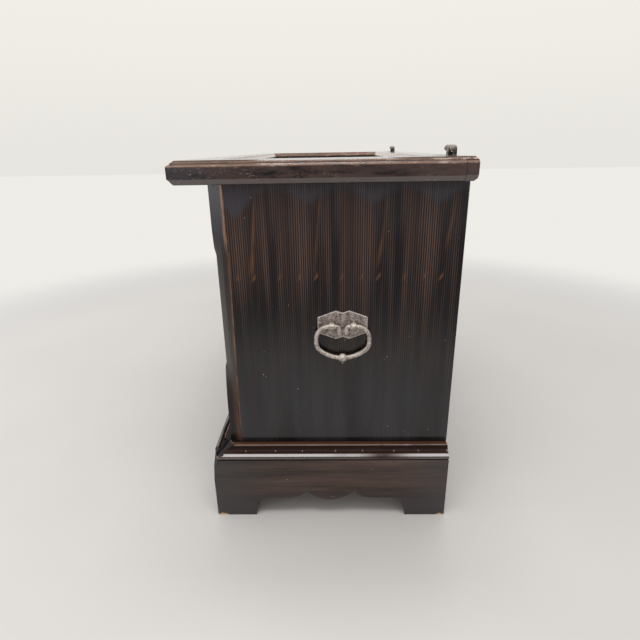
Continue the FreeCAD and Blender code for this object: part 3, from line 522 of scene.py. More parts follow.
SLOPE_FADE = (0.3, 0.6)
SLOPE_END_FADE = (0.97, 0.90)
QUIRK_BROWN = (0.026, 0.018, 0.016)
QUIRK_FADE = (583.2 * MM, 584.0 * MM)
# A painted cream highlight on the lid's slope, near the back.
CREAM_HIGHLIGHT = (0.84, 0.70, 0.55)
CREAM_HIGHLIGHT_SPOT = (582.2 * MM, 1.0 * MM)
CREAM_HIGHLIGHT_FADE = (120 * MM, 180 * MM)


def lid_slope(net, colour, place, up, streaks, breaks, glow):
    """The slope above the lid's ridge: dark along its upper edge, and a painted cream highlight near the back."""
    slope = net.step(up, *SLOPE_FADE) * net.step(up, *SLOPE_END_FADE)
    quirk = slope * net.step(place["Z"], *QUIRK_FADE) * (streaks * 0.6 + 0.5)
    colour = net.mix(net.clamp(quirk), colour, QUIRK_BROWN)
    # Painted cream highlight on the slope.
    cream = slope * net.hump(place["Z"], *CREAM_HIGHLIGHT_SPOT) * net.step(place["Y"], *CREAM_HIGHLIGHT_FADE)
    return net.mix(cream * net.step(breaks, 0.36, 0.56) * glow, colour, CREAM_HIGHLIGHT)


# The base moulding's ledge and bead: the painted shadow's and the bead's fades run outward from the case.
LEDGE_SHADOW = (0.004, 0.003, 0.003)
LEDGE_SHADOW_FADE = (4.0 * MM, 1.0 * MM)
LEDGE_BROWN = (0.105, 0.046, 0.024)
LEDGE_BLACK = (0.010, 0.0095, 0.0105)
BEAD_FADE = (18.0 * MM, 20.5 * MM)
BEAD_UNDER_FADE = (119.0 * MM, 117.0 * MM)
# A painted grey sheen on the lower half of the bead.
BEAD_SHEEN = (0.135, 0.115, 0.108)
GLINT = pattern(13.0, detail=1.0)
GLINT_GAP_SPOT = (95 * MM, 36 * MM)
# Pale heads of the pins that hold the base moulding, in its cove.
PIN_START = -155 * MM
PIN_PITCH = 48 * MM
PIN_HEIGHT = 124.6 * MM
PIN_REACH = (1.1 * MM, 0.5 * MM)
PIN_SWAY = pattern(14.0, detail=0.0)
PIN_SWAY_SIZE = 34.0 * MM
PIN_PALE = (0.46, 0.38, 0.33)


def ledge_on(net, colour, inner, bead, z, level, streaks, ledge, tone):
    """The base moulding's ledge in its own colour, a painted shadow along the case, and a painted grey sheen on the
    bead's lower half.
    """
    colour = net.mix(level * ledge * (streaks * 0.9 + 0.3), colour, tone)
    # Painted shadow on the ledge, along the foot of the case.
    colour = net.mix(level * net.step(inner, *LEDGE_SHADOW_FADE), colour, LEDGE_SHADOW)
    # Painted grey sheen on the bead's lower half.
    under = net.step(z, *BEAD_UNDER_FADE) * (streaks * 0.8 + 0.2)
    return net.mix(bead * under * 0.75, colour, BEAD_SHEEN)


def pins_on(net, colour, a, z, seed, hewn, streaks):
    """The faint pale pin heads, apart from the hewn corner."""
    sway = (net.cloud((a,), PIN_SWAY, seed) - 0.5) * PIN_SWAY_SIZE
    off_a = net.math("FLOORED_MODULO", a + sway - PIN_START, PIN_PITCH) - PIN_PITCH * 0.5
    off_z = z - PIN_HEIGHT
    pin = net.step(off_a * off_a + off_z * off_z, PIN_REACH[0] ** 2, PIN_REACH[1] ** 2)
    return net.mix(pin * (1.0 - hewn) * (streaks * 0.9 + 0.05), colour, PIN_PALE)


def bead_glint(net, a, seed, on_end):
    """How much more or less the bead shines along its length."""
    glint = net.step(net.cloud((a,), GLINT, seed), 0.30, 0.52)
    if on_end:
        glint = (glint * 0.35 + 0.65) * (1.0 - net.hump(a, *GLINT_GAP_SPOT))
    return glint * 0.95 - 0.40


def dark_wood(
    name, axes, seed, worn=0.5, tone=0.0, mottle=0.25, specks=0.4, gloss=0.13, wave=1.0, lining=0.48, dust=0.0,
    chips=(), rub=(WORN_ORANGE, WORN_PALE), wash=0.0, nicks=0.0, tints=(), glow=0.0, ledge=0.0,
    ledge_tone=LEDGE_BROWN, dull=0.0,
):
    """Dark lacquered pine, with its grain along the first of its axes.

    worn says how far arrises are rubbed, and rub holds their two colours, which on the base moulding are partly a
    painted highlight. tone lightens the whole, mottle darkens the scuffs, gloss is the roughness and wave the height
    in millimetres of slow unevenness. lining is the strength of the grain's lines, dust that of a pale brown film and
    of a painted reflection of the floor on slanted undersides, wash that of broad brown streaks, and nicks and specks
    those of small pale marks. chips are bare patches along the lower edge: each a place along the grain, a half
    length and a height. tints are films of colour or of painted sheen: each names an axis, the places where it
    begins and is full, its strength and its colour. glow is the strength of the painted cream highlight on the lid's
    slope, ledge the strength of ledge_tone on level faces of the base moulding, and dull what those faces lose of
    their shine.
    """
    net = new_material(name)
    place = net.place()
    a, c, d = point = tuple(place[axis] for axis in axes)
    z = place["Z"]
    up = net.facing()["Z"]
    level = net.step(up, *LEVEL_FADE)
    # The grain, films of colour on it, and painted light: a sheen in the lid's tints, a shadow and a sheen on the
    # base moulding, and a reflection of the floor on slanted undersides.
    wander = net.cloud((c, d, a), WANDER, seed) - 0.5
    rings = c + d * 0.55 + wander * RING_WANDER
    beat = net.cloud((rings, a), BEAT, seed * 1.7) - 0.5
    lines = net.lines(rings, RING_PITCH, beat * 9.0)
    fibre = net.cloud((rings, d, a), FIBRE, seed)
    strength = net.cloud((rings, a), STRENGTH, seed + 4.0)
    broad = net.cloud((c, d, a), BROAD, seed * 2.3)
    scuff = net.cloud(point, SCUFF, seed)
    scuffed = net.step(scuff, 0.50, 0.72)
    streaks = net.cloud((c, d, a), STREAKS, seed * 3.1)
    grain = lines * strength * (level * 0.25 + lining) + (fibre - 0.5) * 0.36 + (broad - 0.5) * 0.50 + 0.28 + tone
    grain = grain + (streaks - 0.5) * 0.55 - scuffed * mottle * (1.0 - level * 0.8)
    colour = net.ramp(net.clamp(grain), DARK_STOPS)
    film = net.step(scuff, 0.72, 0.38) * (broad * 0.6 + 0.6) * (1.0 - level * 0.85)
    colour = net.mix(net.clamp(film * dust), colour, DUST_FILM)
    soft = net.cloud((c + wander * SOFT_WANDER, d, a), SOFT, seed * 5.3)
    tender = net.step(soft, 0.24, 0.74) * 0.75 + net.step(streaks, 0.45, 0.70) * 0.35
    colour = net.mix(net.clamp(tender) * wash, colour, WASH_BROWN)
    for axis, begin, full, amount, tint in tints:
        colour = net.mix(net.step(place[axis], begin, full) * amount, colour, tint)
    on_end = axes == END_BOARD
    bead = 0.0
    if ledge:
        inner = net.math("ABSOLUTE", d) - (CASE_HALF if on_end else CASE_FRONT)
        bead = net.step(inner, *BEAD_FADE)
        colour = ledge_on(net, colour, inner, bead, z, level, streaks, ledge, ledge_tone)
    not_under = net.step(up, *NOT_UNDER_FADE)
    # dust also sets a painted reflection of the floor on slanted undersides.
    colour = net.mix(net.step(up, *SLANT_FADE) * not_under * dust, colour, SLANT_FLOOR_REFLECTION)
    colour = net.mix(net.step(up, *UNDER_FADE) * dust, colour, DUST_UNDER)
    # Wear and painted light: nicks, rubbed arrises (on the base moulding partly a painted highlight), the painted
    # cream highlight on the lid's slope, bare chips, dirt with painted shade in the cove, and a few pale specks.
    scratch = net.cloud(point, SCRATCH, seed)
    where = net.cloud(point, SCRATCH_PLACES, seed * 1.9)
    nick = net.step(scratch, 0.55, 0.68) * net.step(where, 0.46, 0.62) * not_under * (1.0 - level * 0.75)
    colour = net.mix(nick * nicks, colour, NICK_PALE)
    grime_and_shade = net.mark("grime_and_shade")
    hewn = net.mark("hewn")
    breaks = net.cloud(point, BREAKS, seed)
    rubbed = net.clamp(net.mark("edge") * net.step(breaks, 0.62 - 0.36 * worn, 0.80 - 0.36 * worn))
    colour = net.mix(rubbed * 0.85, colour, net.mix(net.step(breaks, 0.52, 0.74), *rub))
    if glow:
        colour = lid_slope(net, colour, place, up, streaks, breaks, glow)
    colour = net.mix(hewn * 0.9, colour, HEWN_BLACK)
    chip = chips_in(net, chips, point, z)
    colour = net.mix(chip, colour, net.mix(fibre, *BARE_WOOD))
    # Dirt and painted shade in the cove.
    colour = net.mix(grime_and_shade * 0.88, colour, GRIME_AND_SHADE)
    if ledge:
        colour = pins_on(net, colour, a, z, seed, hewn, streaks)
    colour, speck = specks_on(net, colour, point, specks)
    # Gloss and relief.
    haze = net.cloud(point, HAZE, seed)
    roughness = haze * 0.14 + scuffed * 0.10
    roughness = roughness * (1.0 - rubbed * 0.7) + chip * 0.5 + gloss - 0.05
    roughness = roughness * (1.0 - bead * 0.45) + grime_and_shade * 0.30 + hewn * 0.35
    calm = level * 0.85
    roughness = roughness * (1.0 - calm) + calm * LEVEL_ROUGHNESS
    shine = SHINE - rubbed * 0.12 - grime_and_shade * 0.40 - hewn * 0.34
    if ledge:
        shine = shine + bead * (1.0 - hewn) * bead_glint(net, a, seed, on_end)
    shine = net.most(shine - level * dull, 0.0)
    relief = (lines * 0.5 + fibre * 0.35) * (1.0 - level * 0.9) * (1.0 - rubbed * 0.8) - speck
    normal = net.bump(relief, 0.05 * MM)
    normal = net.bump(net.cloud(point, SLOW_WAVE, seed), wave * MM, normal)
    return surface(net, LACQUER, colour, roughness, normal, shine)


PLAIN_STOPS = (
    (0.0, (0.16, 0.085, 0.042)),
    (0.4, (0.30, 0.18, 0.095)),
    (0.7, (0.42, 0.27, 0.155)),
    (1.0, (0.55, 0.38, 0.23)),
)
PLAIN_PITCH = 6.5 * MM
PLAIN_WANDER = pattern(8.0, 8.0, 2.0)
PLAIN_FIBRE = pattern(700.0, 700.0, 10.0, detail=3.0)
PLAIN_BROAD = pattern(14.0, 14.0, 3.0)
PLAIN_DUST = pattern(20.0, 20.0, 20.0, detail=4.0)
PLAIN_DIRT = (0.12, 0.075, 0.045)
PLAIN_STAIN = (0.045, 0.024, 0.015)


def plain_wood(name, axes, seed, stain):
    """Unfinished softwood for the hidden pieces, bare or stained brown."""
    net = new_material(name)
    place = net.place()
    a, c, d = point = tuple(place[axis] for axis in axes)
    wander = net.cloud((c, d, a), PLAIN_WANDER, seed) - 0.5
    lines = net.lines(c + d * 0.6 + wander * RING_WANDER, PLAIN_PITCH)
    fibre = net.cloud((c, d, a), PLAIN_FIBRE, seed)
    broad = net.cloud((c, d, a), PLAIN_BROAD, seed)
    grain = 0.75 - lines * 0.35 + (fibre - 0.5) * 0.4 + (broad - 0.5) * 0.5
    colour = net.ramp(net.clamp(grain), PLAIN_STOPS)
    dust = net.cloud(point, PLAIN_DUST)
    colour = net.mix(net.step(dust, 0.52, 0.75) * 0.45, colour, PLAIN_DIRT)
    colour = net.mix(stain, colour, PLAIN_STAIN)
    normal = net.bump(lines * 0.4 + fibre * 0.6, 0.15 * MM)
    return surface(net, {"IOR": 1.45}, colour, fibre * 0.2 + 0.58, normal)


# Iron

IRON_STOPS = (
    (0.40, (0.052, 0.040, 0.036)),
    (0.47, (0.165, 0.128, 0.112)),
    (0.55, (0.37, 0.305, 0.270)),
    (0.66, (0.66, 0.595, 0.535)),
)
BLOTCH_SCALE, FINE_SCALE, RUST_SCALE = 150.0, 640.0, 75.0
DENT_SCALE, PIT_SCALE = 260.0, 430.0
IRON_RUST = (0.13, 0.070, 0.046)
IRON_PIT = (0.055, 0.038, 0.032)
IRON_RIM = (0.72, 0.66, 0.60)
# A painted highlight for upper sides and painted shade for lower sides.
IRON_PAINTED_LIGHT = (0.86, 0.78, 0.64)
IRON_SHADED = (0.085, 0.060, 0.048)
IRON_SMOKED = (0.185, 0.172, 0.145)
# A painted highlight for the hinges' bead crowns, and painted shade for their joints and stems.
IRON_CROWN_HIGHLIGHT = (0.50, 0.46, 0.38)
HINGE_SHADE = (0.016, 0.0145, 0.0130)
# The hinges' beads along the lid, the joints between them, and the height of the painted shade below.
BEAD_MIDDLES = (309.5 * MM, 326.0 * MM, 342.5 * MM)
BEAD_JOINTS = (317.7 * MM, 334.3 * MM)
CROWN_WIDTH = 3.4 * MM
JOINT_WIDTH = 2.7 * MM
STEM_SHADE_TOP_FADE = (592.5 * MM, 588.5 * MM)
STEM_SHADE_FOOT_FADE = (584.8 * MM, 586.5 * MM)


def smoked_and_shaded_hinge(net, colour, place):
    """The hinges' smoky colour, with painted highlights on the beads' crowns and painted shade in the joints between
    them and on the stems.
    """
    colour = net.mix(0.35, colour, IRON_SMOKED)
    along = net.math("ABSOLUTE", place["X"])
    for middle in BEAD_MIDDLES:
        colour = net.mix(net.hump(along, middle, CROWN_WIDTH) * 0.45, colour, IRON_CROWN_HIGHLIGHT)
    for joint in BEAD_JOINTS:
        colour = net.mix(net.hump(along, joint, JOINT_WIDTH) * 0.9, colour, HINGE_SHADE)
    stem_shade = net.step(place["Z"], *STEM_SHADE_TOP_FADE) * net.step(place["Z"], *STEM_SHADE_FOOT_FADE)
    return net.mix(stem_shade * 0.85, colour, HINGE_SHADE)


def aged_iron(name, seed, pale=0.0, smoked_and_shaded=False, rubbed=0.0):
    """Old hammered iron: mottled pinkish grey, paler on the rubbed rims.

    pale lightens the whole, smoked_and_shaded is for the hinges, and rubbed is how strongly upper sides get a
    painted highlight and lower sides painted shade.
    """
    net = new_material(name)
    place = net.place()
    point = net.vector(place["X"], place["Y"], place["Z"] + seed)
    blotch = net.noise(point, BLOTCH_SCALE, detail=5.0, roughness=0.7)
    fine = net.noise(point, FINE_SCALE, detail=4.0, roughness=0.7)
    rust = net.noise(point, RUST_SCALE, detail=3.0)
    dents = net.cells(point, DENT_SCALE)
    mottle = blotch * 0.66 + fine * 0.34 + pale + 0.030
    colour = net.ramp(mottle, IRON_STOPS)
    colour = net.mix(net.step(rust, 0.52, 0.72) * 0.40, colour, IRON_RUST)
    pits = net.step(net.cells(point, PIT_SCALE), 0.30, 0.12) * net.step(blotch, 0.62, 0.45)
    colour = net.mix(pits * 0.7, colour, IRON_PIT)
    colour = net.mix(net.mark("edge") * net.step(fine, 0.30, 0.55) * 0.85, colour, IRON_RIM)
    # Painted highlight on upper sides and painted shade on lower sides.
    if rubbed:
        up = net.facing()["Z"]
        colour = net.mix(net.step(up, 0.15, 0.9) * rubbed, colour, IRON_PAINTED_LIGHT)
        colour = net.mix(net.step(up, 0.0, -0.8) * rubbed, colour, IRON_SHADED)
    if smoked_and_shaded:
        colour = smoked_and_shaded_hinge(net, colour, place)
    normal = net.bump(fine, 0.12 * MM)
    normal = net.bump(net.step(dents, 0.0, 0.6), 0.30 * MM, normal)
    return surface(net, {"Metallic": 0.45}, colour, mottle * 0.30 + 0.32, normal)


# Pieces made from the frame's nodes

WELD = 0.002 * MM
FLAT = math.radians(0.4)
SHARP = math.radians(28)
SHADED_SHARP = math.radians(40)
SLANTED = 0.15
RUBBED_FACE = 0.85
TOUCH = 0.02 * MM
TOP_HALF = 420 * MM
TOP_OUT = 203 * MM
TOP_LEVEL = 585 * MM
LID_BACK = 186.5 * MM
RAIL_FRONT = 187 * MM
LID_OPENING_HALF = 353 * MM
BASE_HALF = 411 * MM
BASE_OUT = 189 * MM
BASE_TOP = 133.5 * MM
HINGE_MIDDLE = 326 * MM
WEB_SIZE = (21.2 * MM, 2.4 * MM, 5.4 * MM)
WEB_MIDDLE = (189.1 * MM, 587.2 * MM)
RIM_WIDTH = 0.9 * MM


def start_mesh(node):
    """A clean copy of a node's mesh, with its flat faces joined up again."""
    mesh = bmesh.new()
    mesh.from_mesh(nodes[node].data)
    bmesh.ops.remove_doubles(mesh, verts=mesh.verts, dist=WELD)
    bmesh.ops.dissolve_limit(mesh, angle_limit=FLAT, verts=mesh.verts, edges=mesh.edges)
    return mesh


def end_mesh(mesh, node, name, material):
    """Put the piece in the scene in place of its node."""
    data = bpy.data.meshes.new(name)
    mesh.to_mesh(data)
    mesh.free()
    data.materials.append(material)
    piece = bpy.data.objects.new(name, data)
    scene.collection.objects.link(piece)
    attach(piece, BODY_OF[node])
    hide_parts(node)
    return piece


def slanted(face):
    """Whether a face turns both to an end and to the front, as the hewn ones do."""
    return abs(face.normal.x) > SLANTED and abs(face.normal.y) > SLANTED


def fully_worn(centre):
    return 1.0


def arrises(mesh, joint, chosen):
    """The sharp edges outside the joints, or those of them that are chosen."""
    edges = []
    for edge in mesh.edges:
        if len(edge.link_faces) != 2 or edge.calc_face_angle(0.0) <= SHARP:
            continue
        if joint and all(joint(v.co) for v in edge.verts):
            continue
        if chosen is None or chosen(edge):
            edges.append(edge)
    return edges


def eased(
    node, width, material, joint=None, wide=None, wear=fully_worn, rubs=None, cove=None, shape=None,
):
    """A node's shape with its arrises rounded by wear, apart from the edges inside a joint.

    wide picks the edges that are rounded more, and says how much, and wear says how far each rounded strip is
    rubbed. rubs picks faces that are rubbed as a whole, and cove those that hold dirt and painted shade. shape
    changes the mesh first.
    """
    mesh = start_mesh(node)
    if shape:
        shape(mesh)
    mark = mesh.faces.layers.float.new("edge")
    hewn = mesh.faces.layers.float.new("hewn")
    dirty_and_shaded = mesh.faces.layers.float.new("grime_and_shade")
    for chosen, offset in ([wide] if wide else []) + [(None, width)]:
        made = bmesh.ops.bevel(
            mesh, geom=arrises(mesh, joint, chosen), offset=offset, offset_type="OFFSET", segments=2, profile=0.5,
            affect="EDGES", clamp_overlap=True, miter_outer="SHARP", miter_inner="SHARP",
        )
        for face in made["faces"]:
            face[mark] = wear(face.calc_center_median())
    for face in mesh.faces:
        face.smooth = True
        if face[mark] == 0.0 and slanted(face):
            face[hewn] = 1.0
        if rubs and rubs(face):
            face[mark] = max(face[mark], RUBBED_FACE)
        if cove and face[hewn] == 0.0 and cove(face):
            face[dirty_and_shaded] = 1.0
    piece = end_mesh(mesh, node, node + "_eased", material)
    piece.data.set_sharp_from_angle(angle=SHADED_SHARP)
    weighted = piece.modifiers.new("weighted", "WEIGHTED_NORMAL")
    weighted.keep_sharp = True


def evened(node, voxel):
    """A node's shape as an even, slightly softened mesh."""
    copy = bpy.data.objects.new(node + "_source", nodes[node].data.copy())
    scene.collection.objects.link(copy)
    even = copy.modifiers.new("even", "REMESH")
    even.mode = "VOXEL"
    even.voxel_size = voxel
    graph = bpy.context.evaluated_depsgraph_get()
    data = bpy.data.meshes.new_from_object(copy.evaluated_get(graph))
    bpy.data.objects.remove(copy)
    mesh = bmesh.new()
    mesh.from_mesh(data)
    bpy.data.meshes.remove(data)
    bmesh.ops.smooth_vert(
        mesh, verts=mesh.verts, factor=0.5, use_axis_x=True, use_axis_y=True, use_axis_z=True,
    )
    mesh.normal_update()
    return mesh


def mark_rim(mesh, mark):
    """Mark the faces near a plate's outline, as seen from the end of the chest."""
    walls = [face.calc_center_median() for face in mesh.faces if abs(face.normal.x) < 0.5]
    outline = KDTree(len(walls))
    for index, centre in enumerate(walls):
        outline.insert((0.0, centre.y, centre.z), index)
    outline.balance()
    for face in mesh.faces:
        centre = face.calc_center_median()
        away = outline.find((0.0, centre.y, centre.z))[2]
        face[mark] = min(max(2.0 - away / RIM_WIDTH, 0.0), 1.0)


def forged(node, voxel, depth, scale, material, rim=False):
    """A node's shape as hand-forged iron: soft edges and an uneven surface, never outside the node."""
    mesh = evened(node, voxel)
    shifts = []
    for vert in mesh.verts:
        uneven = noise.noise(vert.co * scale) * 0.6 + noise.noise(vert.co * scale * 2.7) * 0.4
        shifts.append(vert.normal * (-depth * (0.5 + 0.5 * uneven)))
    mark = mesh.faces.layers.float.new("edge")
    if rim:
        mark_rim(mesh, mark)
    for face in mesh.faces:
        face.smooth = True
    for vert, shift in zip(mesh.verts, shifts):
        vert.co += shift
    end_mesh(mesh, node, node + "_forged", material)


def webbed(node, side, material):
    """A fixed hinge leaf, with a low web that joins its two stems behind the lid's knuckle."""
    mesh = bmesh.new()
    mesh.from_mesh(nodes[node].data)
    web = bmesh.ops.create_cube(mesh, size=1.0)["verts"]
    bmesh.ops.scale(mesh, verts=web, vec=WEB_SIZE)
    bmesh.ops.translate(mesh, verts=web, vec=(side * HINGE_MIDDLE, *WEB_MIDDLE))
    end_mesh(mesh, node, node + "_webbed", material)


def painted(node, material):
    """A node that keeps its own mesh, with a material."""
    slots = nodes[node].data.materials
    slots.clear()
    slots.append(material)


# Which edges and faces are worn, and which hold dirt and painted shade

RIDGE_BAND = (575.5 * MM, 584.9 * MM)
RIDGE_TILT = (0.15, 0.97)
RUBBED_TOP = 12 * MM
COVE_BAND = (122.7 * MM, 131.4 * MM)
LEDGE_ARRIS_BAND = 4 * MM
HEWN_BASE_FRONT = -150 * MM
HEWN_BASE_HALF = 372 * MM
FEET_TOP = 70 * MM
LOWER_LID_WEAR, BEAD_WEAR, FEET_WEAR = 0.12, 0.35, 0.8
# The base moulding's bead: its middle outward from the case and upward, the band of its radius, and the plane that
# flattens it.
BEAD_OUT = 21 * MM
BEAD_LEVEL = 117.5 * MM
BEAD_INSIDE = -0.1 * MM
BEAD_RADII = (4.9 * MM, 5.1 * MM)
PLANE_OUT, PLANE_UP = 0.574, 0.819
PLANE_REACH = 4.1 * MM
PLANED_SHARE = 0.93


def on_mitre(point, half, out):
    """Whether a point lies in the mitre between a front piece and an end piece."""
    return abs((half - abs(point.x)) - (point.y + out)) < TOUCH


def lid_joint(point):
    on_end = abs(abs(point.x) - LID_OPENING_HALF) < TOUCH
    on_gap = abs(point.y - LID_BACK) < TOUCH or abs(point.y - RAIL_FRONT) < TOUCH
    return on_mitre(point, TOP_HALF, TOP_OUT) or on_end or on_gap


def base_joint(point):
    return on_mitre(point, BASE_HALF, BASE_OUT)


def hewn_arris(edge):
    """The arris between an end panel's face and its hewn corner."""
    on_face = all(abs(abs(v.co.x) - CASE_HALF) < TOUCH for v in edge.verts)
    return on_face and any(slanted(face) for face in edge.link_faces)


def lid_wear(centre):
    """The ridge and the step above it are rubbed; the lower edges hardly are."""
    return 1.0 if centre.z > TOP_LEVEL - RUBBED_TOP else LOWER_LID_WEAR


def lid_ridge(face):
    """The rounded ridge and the slopes above it, on the lid's outside and around its sunken panel."""
    in_band = RIDGE_BAND[0] < face.calc_center_median().z < RIDGE_BAND[1]
    return in_band and RIDGE_TILT[0] < face.normal.z < RIDGE_TILT[1]


def cove_face(face):
    """The hollow of the base moulding, between the bead and the ledge's arris."""
    return COVE_BAND[0] < face.calc_center_median().z < COVE_BAND[1]


def ledge_arris(edge):
    """The upper outer edge of the base moulding."""
    return all(abs(v.co.z - BASE_TOP) < TOUCH for v in edge.verts)


def flatten_bead(mesh):
    """Hand planing took most of the roundness off the bead's upper side."""
    for vert in mesh.verts:
        up = vert.co.z - BEAD_LEVEL
        for outer, place in ((CASE_HALF, abs(vert.co.x)), (CASE_FRONT, -vert.co.y)):
            across = place - outer - BEAD_OUT
            on_bead = BEAD_RADII[0] <= math.hypot(across, up) <= BEAD_RADII[1]
            lift = across * PLANE_OUT + up * PLANE_UP - PLANE_REACH
            if not on_bead or across < BEAD_INSIDE or up < 0.0 or lift <= 0.0:
                continue
            pull = lift * PLANED_SHARE
            vert.co.z -= pull * PLANE_UP
            if outer == CASE_HALF:
                vert.co.x -= math.copysign(pull * PLANE_OUT, vert.co.x)
            else:
                vert.co.y += pull * PLANE_OUT
            break


def moulding_wear(centre):
    """The ledge's arris is rubbed, the lip and the bead less, and the hewn corners not at all."""
    if centre.z < BASE_TOP - LEDGE_ARRIS_BAND:
        return BEAD_WEAR
    return 0.0 if centre.y < HEWN_BASE_FRONT and abs(centre.x) > HEWN_BASE_HALF else 1.0


def plinth_wear(centre):
    """The feet and scallops are rubbed; the top edge is not."""
    return FEET_WEAR if centre.z < FEET_TOP else 0.0


# The pieces

# glow sets the painted cream highlight on the lid's slope.
LID_FINISH = {
    "worn": 0.9, "tone": 0.10, "mottle": 0.40, "specks": 0.9, "gloss": 0.15, "wave": 0.25, "lining": 0.30,
    "dust": 0.75, "rub": ((0.21, 0.108, 0.066), (0.50, 0.40, 0.335)), "nicks": 0.6, "glow": 0.6,
}
LID_TINTS_AND_SHEEN = (
    # A painted bluish sheen toward the lid's front end.
    ("Y", -110 * MM, -195 * MM, 0.55, (0.062, 0.058, 0.068)),
    ("Y", 60 * MM, 170 * MM, 0.50, (0.105, 0.066, 0.056)),
)
# On the base moulding the pale rub colours are partly wear and partly a painted highlight along the ledge's arris.
MOULDING_FINISH = {
    "worn": 0.95, "tone": 0.17, "mottle": 0.2, "gloss": 0.16, "wave": 0.7, "lining": 0.25, "dust": 0.2,
    "rub": ((0.24, 0.165, 0.135), (0.50, 0.44, 0.40)), "nicks": 0.3,
}
FRONT_LEDGE = {"ledge": 1.0, "ledge_tone": LEDGE_BLACK, "dull": 0.42}
END_LEDGE = {"ledge": 0.85}
PLINTH_FINISH = {"worn": 0.45, "tone": 0.12, "mottle": 0.12, "lining": 0.20, "wash": 0.80}
PLINTH_TINTS = (("Z", 55 * MM, 22 * MM, 0.65, (0.032, 0.029, 0.032)),)
PLINTH_END_TINTS = (
    ("Y", -85 * MM, -175 * MM, 0.60, (0.034, 0.031, 0.033)),
    ("Y", 120 * MM, 190 * MM, 0.55, (0.036, 0.033, 0.035)),
)
PLINTH_CHIPS = ((-180 * MM, 11 * MM, 4.0 * MM), (196 * MM, 8 * MM, 3.2 * MM))
LONG_PLINTH = {"tints": PLINTH_TINTS}
END_PLINTH = {"tints": PLINTH_TINTS + PLINTH_END_TINTS, "chips": PLINTH_CHIPS}
RAIL_STAIN, FOOT_STAIN, BATTEN_STAIN = 0.90, 0.82, 0.35
# How far the arrises are rounded.
END_ROUND, HEWN_ROUND = 0.7 * MM, 1.0 * MM
THIN_ROUND = 0.6 * MM
MOULDING_ROUND, LEDGE_ROUND = 0.5 * MM, 1.5 * MM
PLINTH_ROUND = 0.9 * MM
PLAIN_ROUND = 0.8 * MM
# Forged pieces: the size of the mesh's faces, the depth of the unevenness and its rate per metre.
PLATE_FORGING = (0.5 * MM, 0.25 * MM, 260.0)
BAIL_FORGING = (0.5 * MM, 0.30 * MM, 170.0)
EYES_FORGING = (0.45 * MM, 0.15 * MM, 300.0)

for hand, seed in (("right", 1.0), ("left", 14.0)):
    wood = end_wood("wood_end_" + hand, seed)
    eased("end_panel_" + hand, END_ROUND, wood, wide=(hewn_arris, HEWN_ROUND))
for side, seed in (("front", 3.0), ("back", 7.0)):
    eased(side + "_panel", THIN_ROUND, dark_wood("wood_" + side, LONG_BOARD, seed))

for node, axes, seed, tints in (
    ("lid_front_rail", LONG_RAIL, 21.0, ()),
    ("lid_right_rail", END_RAIL, 22.0, LID_TINTS_AND_SHEEN),
    ("lid_left_rail", END_RAIL, 23.0, LID_TINTS_AND_SHEEN),
    ("lid_back_rail", LONG_RAIL, 24.0, ()),
    ("lid_panel", LONG_RAIL, 25.0, ()),
    ("rear_hinge_rail", LONG_RAIL, 26.0, LID_TINTS_AND_SHEEN),
):
    wood = dark_wood("wood_" + node, axes, seed, tints=tints, **LID_FINISH)
    eased(node, THIN_ROUND, wood, joint=lid_joint, wear=lid_wear, rubs=lid_ridge)

for node, axes, seed, ledge in (
    ("base_moulding_front", LONG_BOARD, 31.0, FRONT_LEDGE),
    ("base_moulding_right", END_BOARD, 32.0, END_LEDGE),
    ("base_moulding_left", END_BOARD, 33.0, END_LEDGE),
):
    wood = dark_wood("wood_" + node, axes, seed, **MOULDING_FINISH, **ledge)
    eased(
        node, MOULDING_ROUND, wood, joint=base_joint, wide=(ledge_arris, LEDGE_ROUND), wear=moulding_wear,
        cove=cove_face, shape=flatten_bead,
    )

for node, axes, seed, marks in (
    ("plinth_front", LONG_BOARD, 41.0, LONG_PLINTH),
    ("plinth_right", END_BOARD, 42.0, END_PLINTH),
    ("plinth_left", END_BOARD, 43.0, END_PLINTH),
    ("plinth_back", LONG_BOARD, 44.0, LONG_PLINTH),
):
    wood = dark_wood("wood_" + node, axes, seed, **PLINTH_FINISH, **marks)
    eased(node, PLINTH_ROUND, wood, joint=base_joint, wear=plinth_wear)

for node, axes, seed, stain in (
    ("bottom_board", LONG_RAIL, 51.0, 0.0),
    ("base_back_rail", LONG_BOARD, 52.0, RAIL_STAIN),
    ("foot_block_front_right", POST, 53.0, FOOT_STAIN),
    ("foot_block_front_left", POST, 54.0, FOOT_STAIN),
    ("foot_block_back_right", POST, 55.0, FOOT_STAIN),
    ("foot_block_back_left", POST, 56.0, FOOT_STAIN),
    ("lid_batten_right", END_RAIL, 57.0, BATTEN_STAIN),
    ("lid_batten_left", END_RAIL, 58.0, BATTEN_STAIN),
):
    eased(node, PLAIN_ROUND, plain_wood("plain_" + node, axes, seed, stain))

iron_plate = aged_iron("iron_plate", 0.0)
# The bail gets a painted highlight on its upper sides and painted shade on its lower sides.
iron_bail = aged_iron("iron_bail", 3.0, pale=0.065, rubbed=0.55)
# The hinges get painted highlights on the beads' crowns and painted shade in the joints and on the stems.
iron_hinge = aged_iron("iron_hinge", 6.0, smoked_and_shaded=True)
for hand, side in (("right", 1), ("left", -1)):
    forged("handle_plate_" + hand, *PLATE_FORGING, iron_plate, rim=True)
    forged("bail_" + hand, *BAIL_FORGING, iron_bail)
    forged("handle_eyes_" + hand, *EYES_FORGING, iron_bail)
    webbed("hinge_fixed_leaf_" + hand, side, iron_hinge)
    for label in ("handle_nuts_", "hinge_lid_leaf_", "hinge_pin_"):
        painted(label + hand, iron_hinge)
for node in ("hinge_rail_screws", "hinge_lid_screws"):
    painted(node, iron_hinge)


# Floor, light and camera

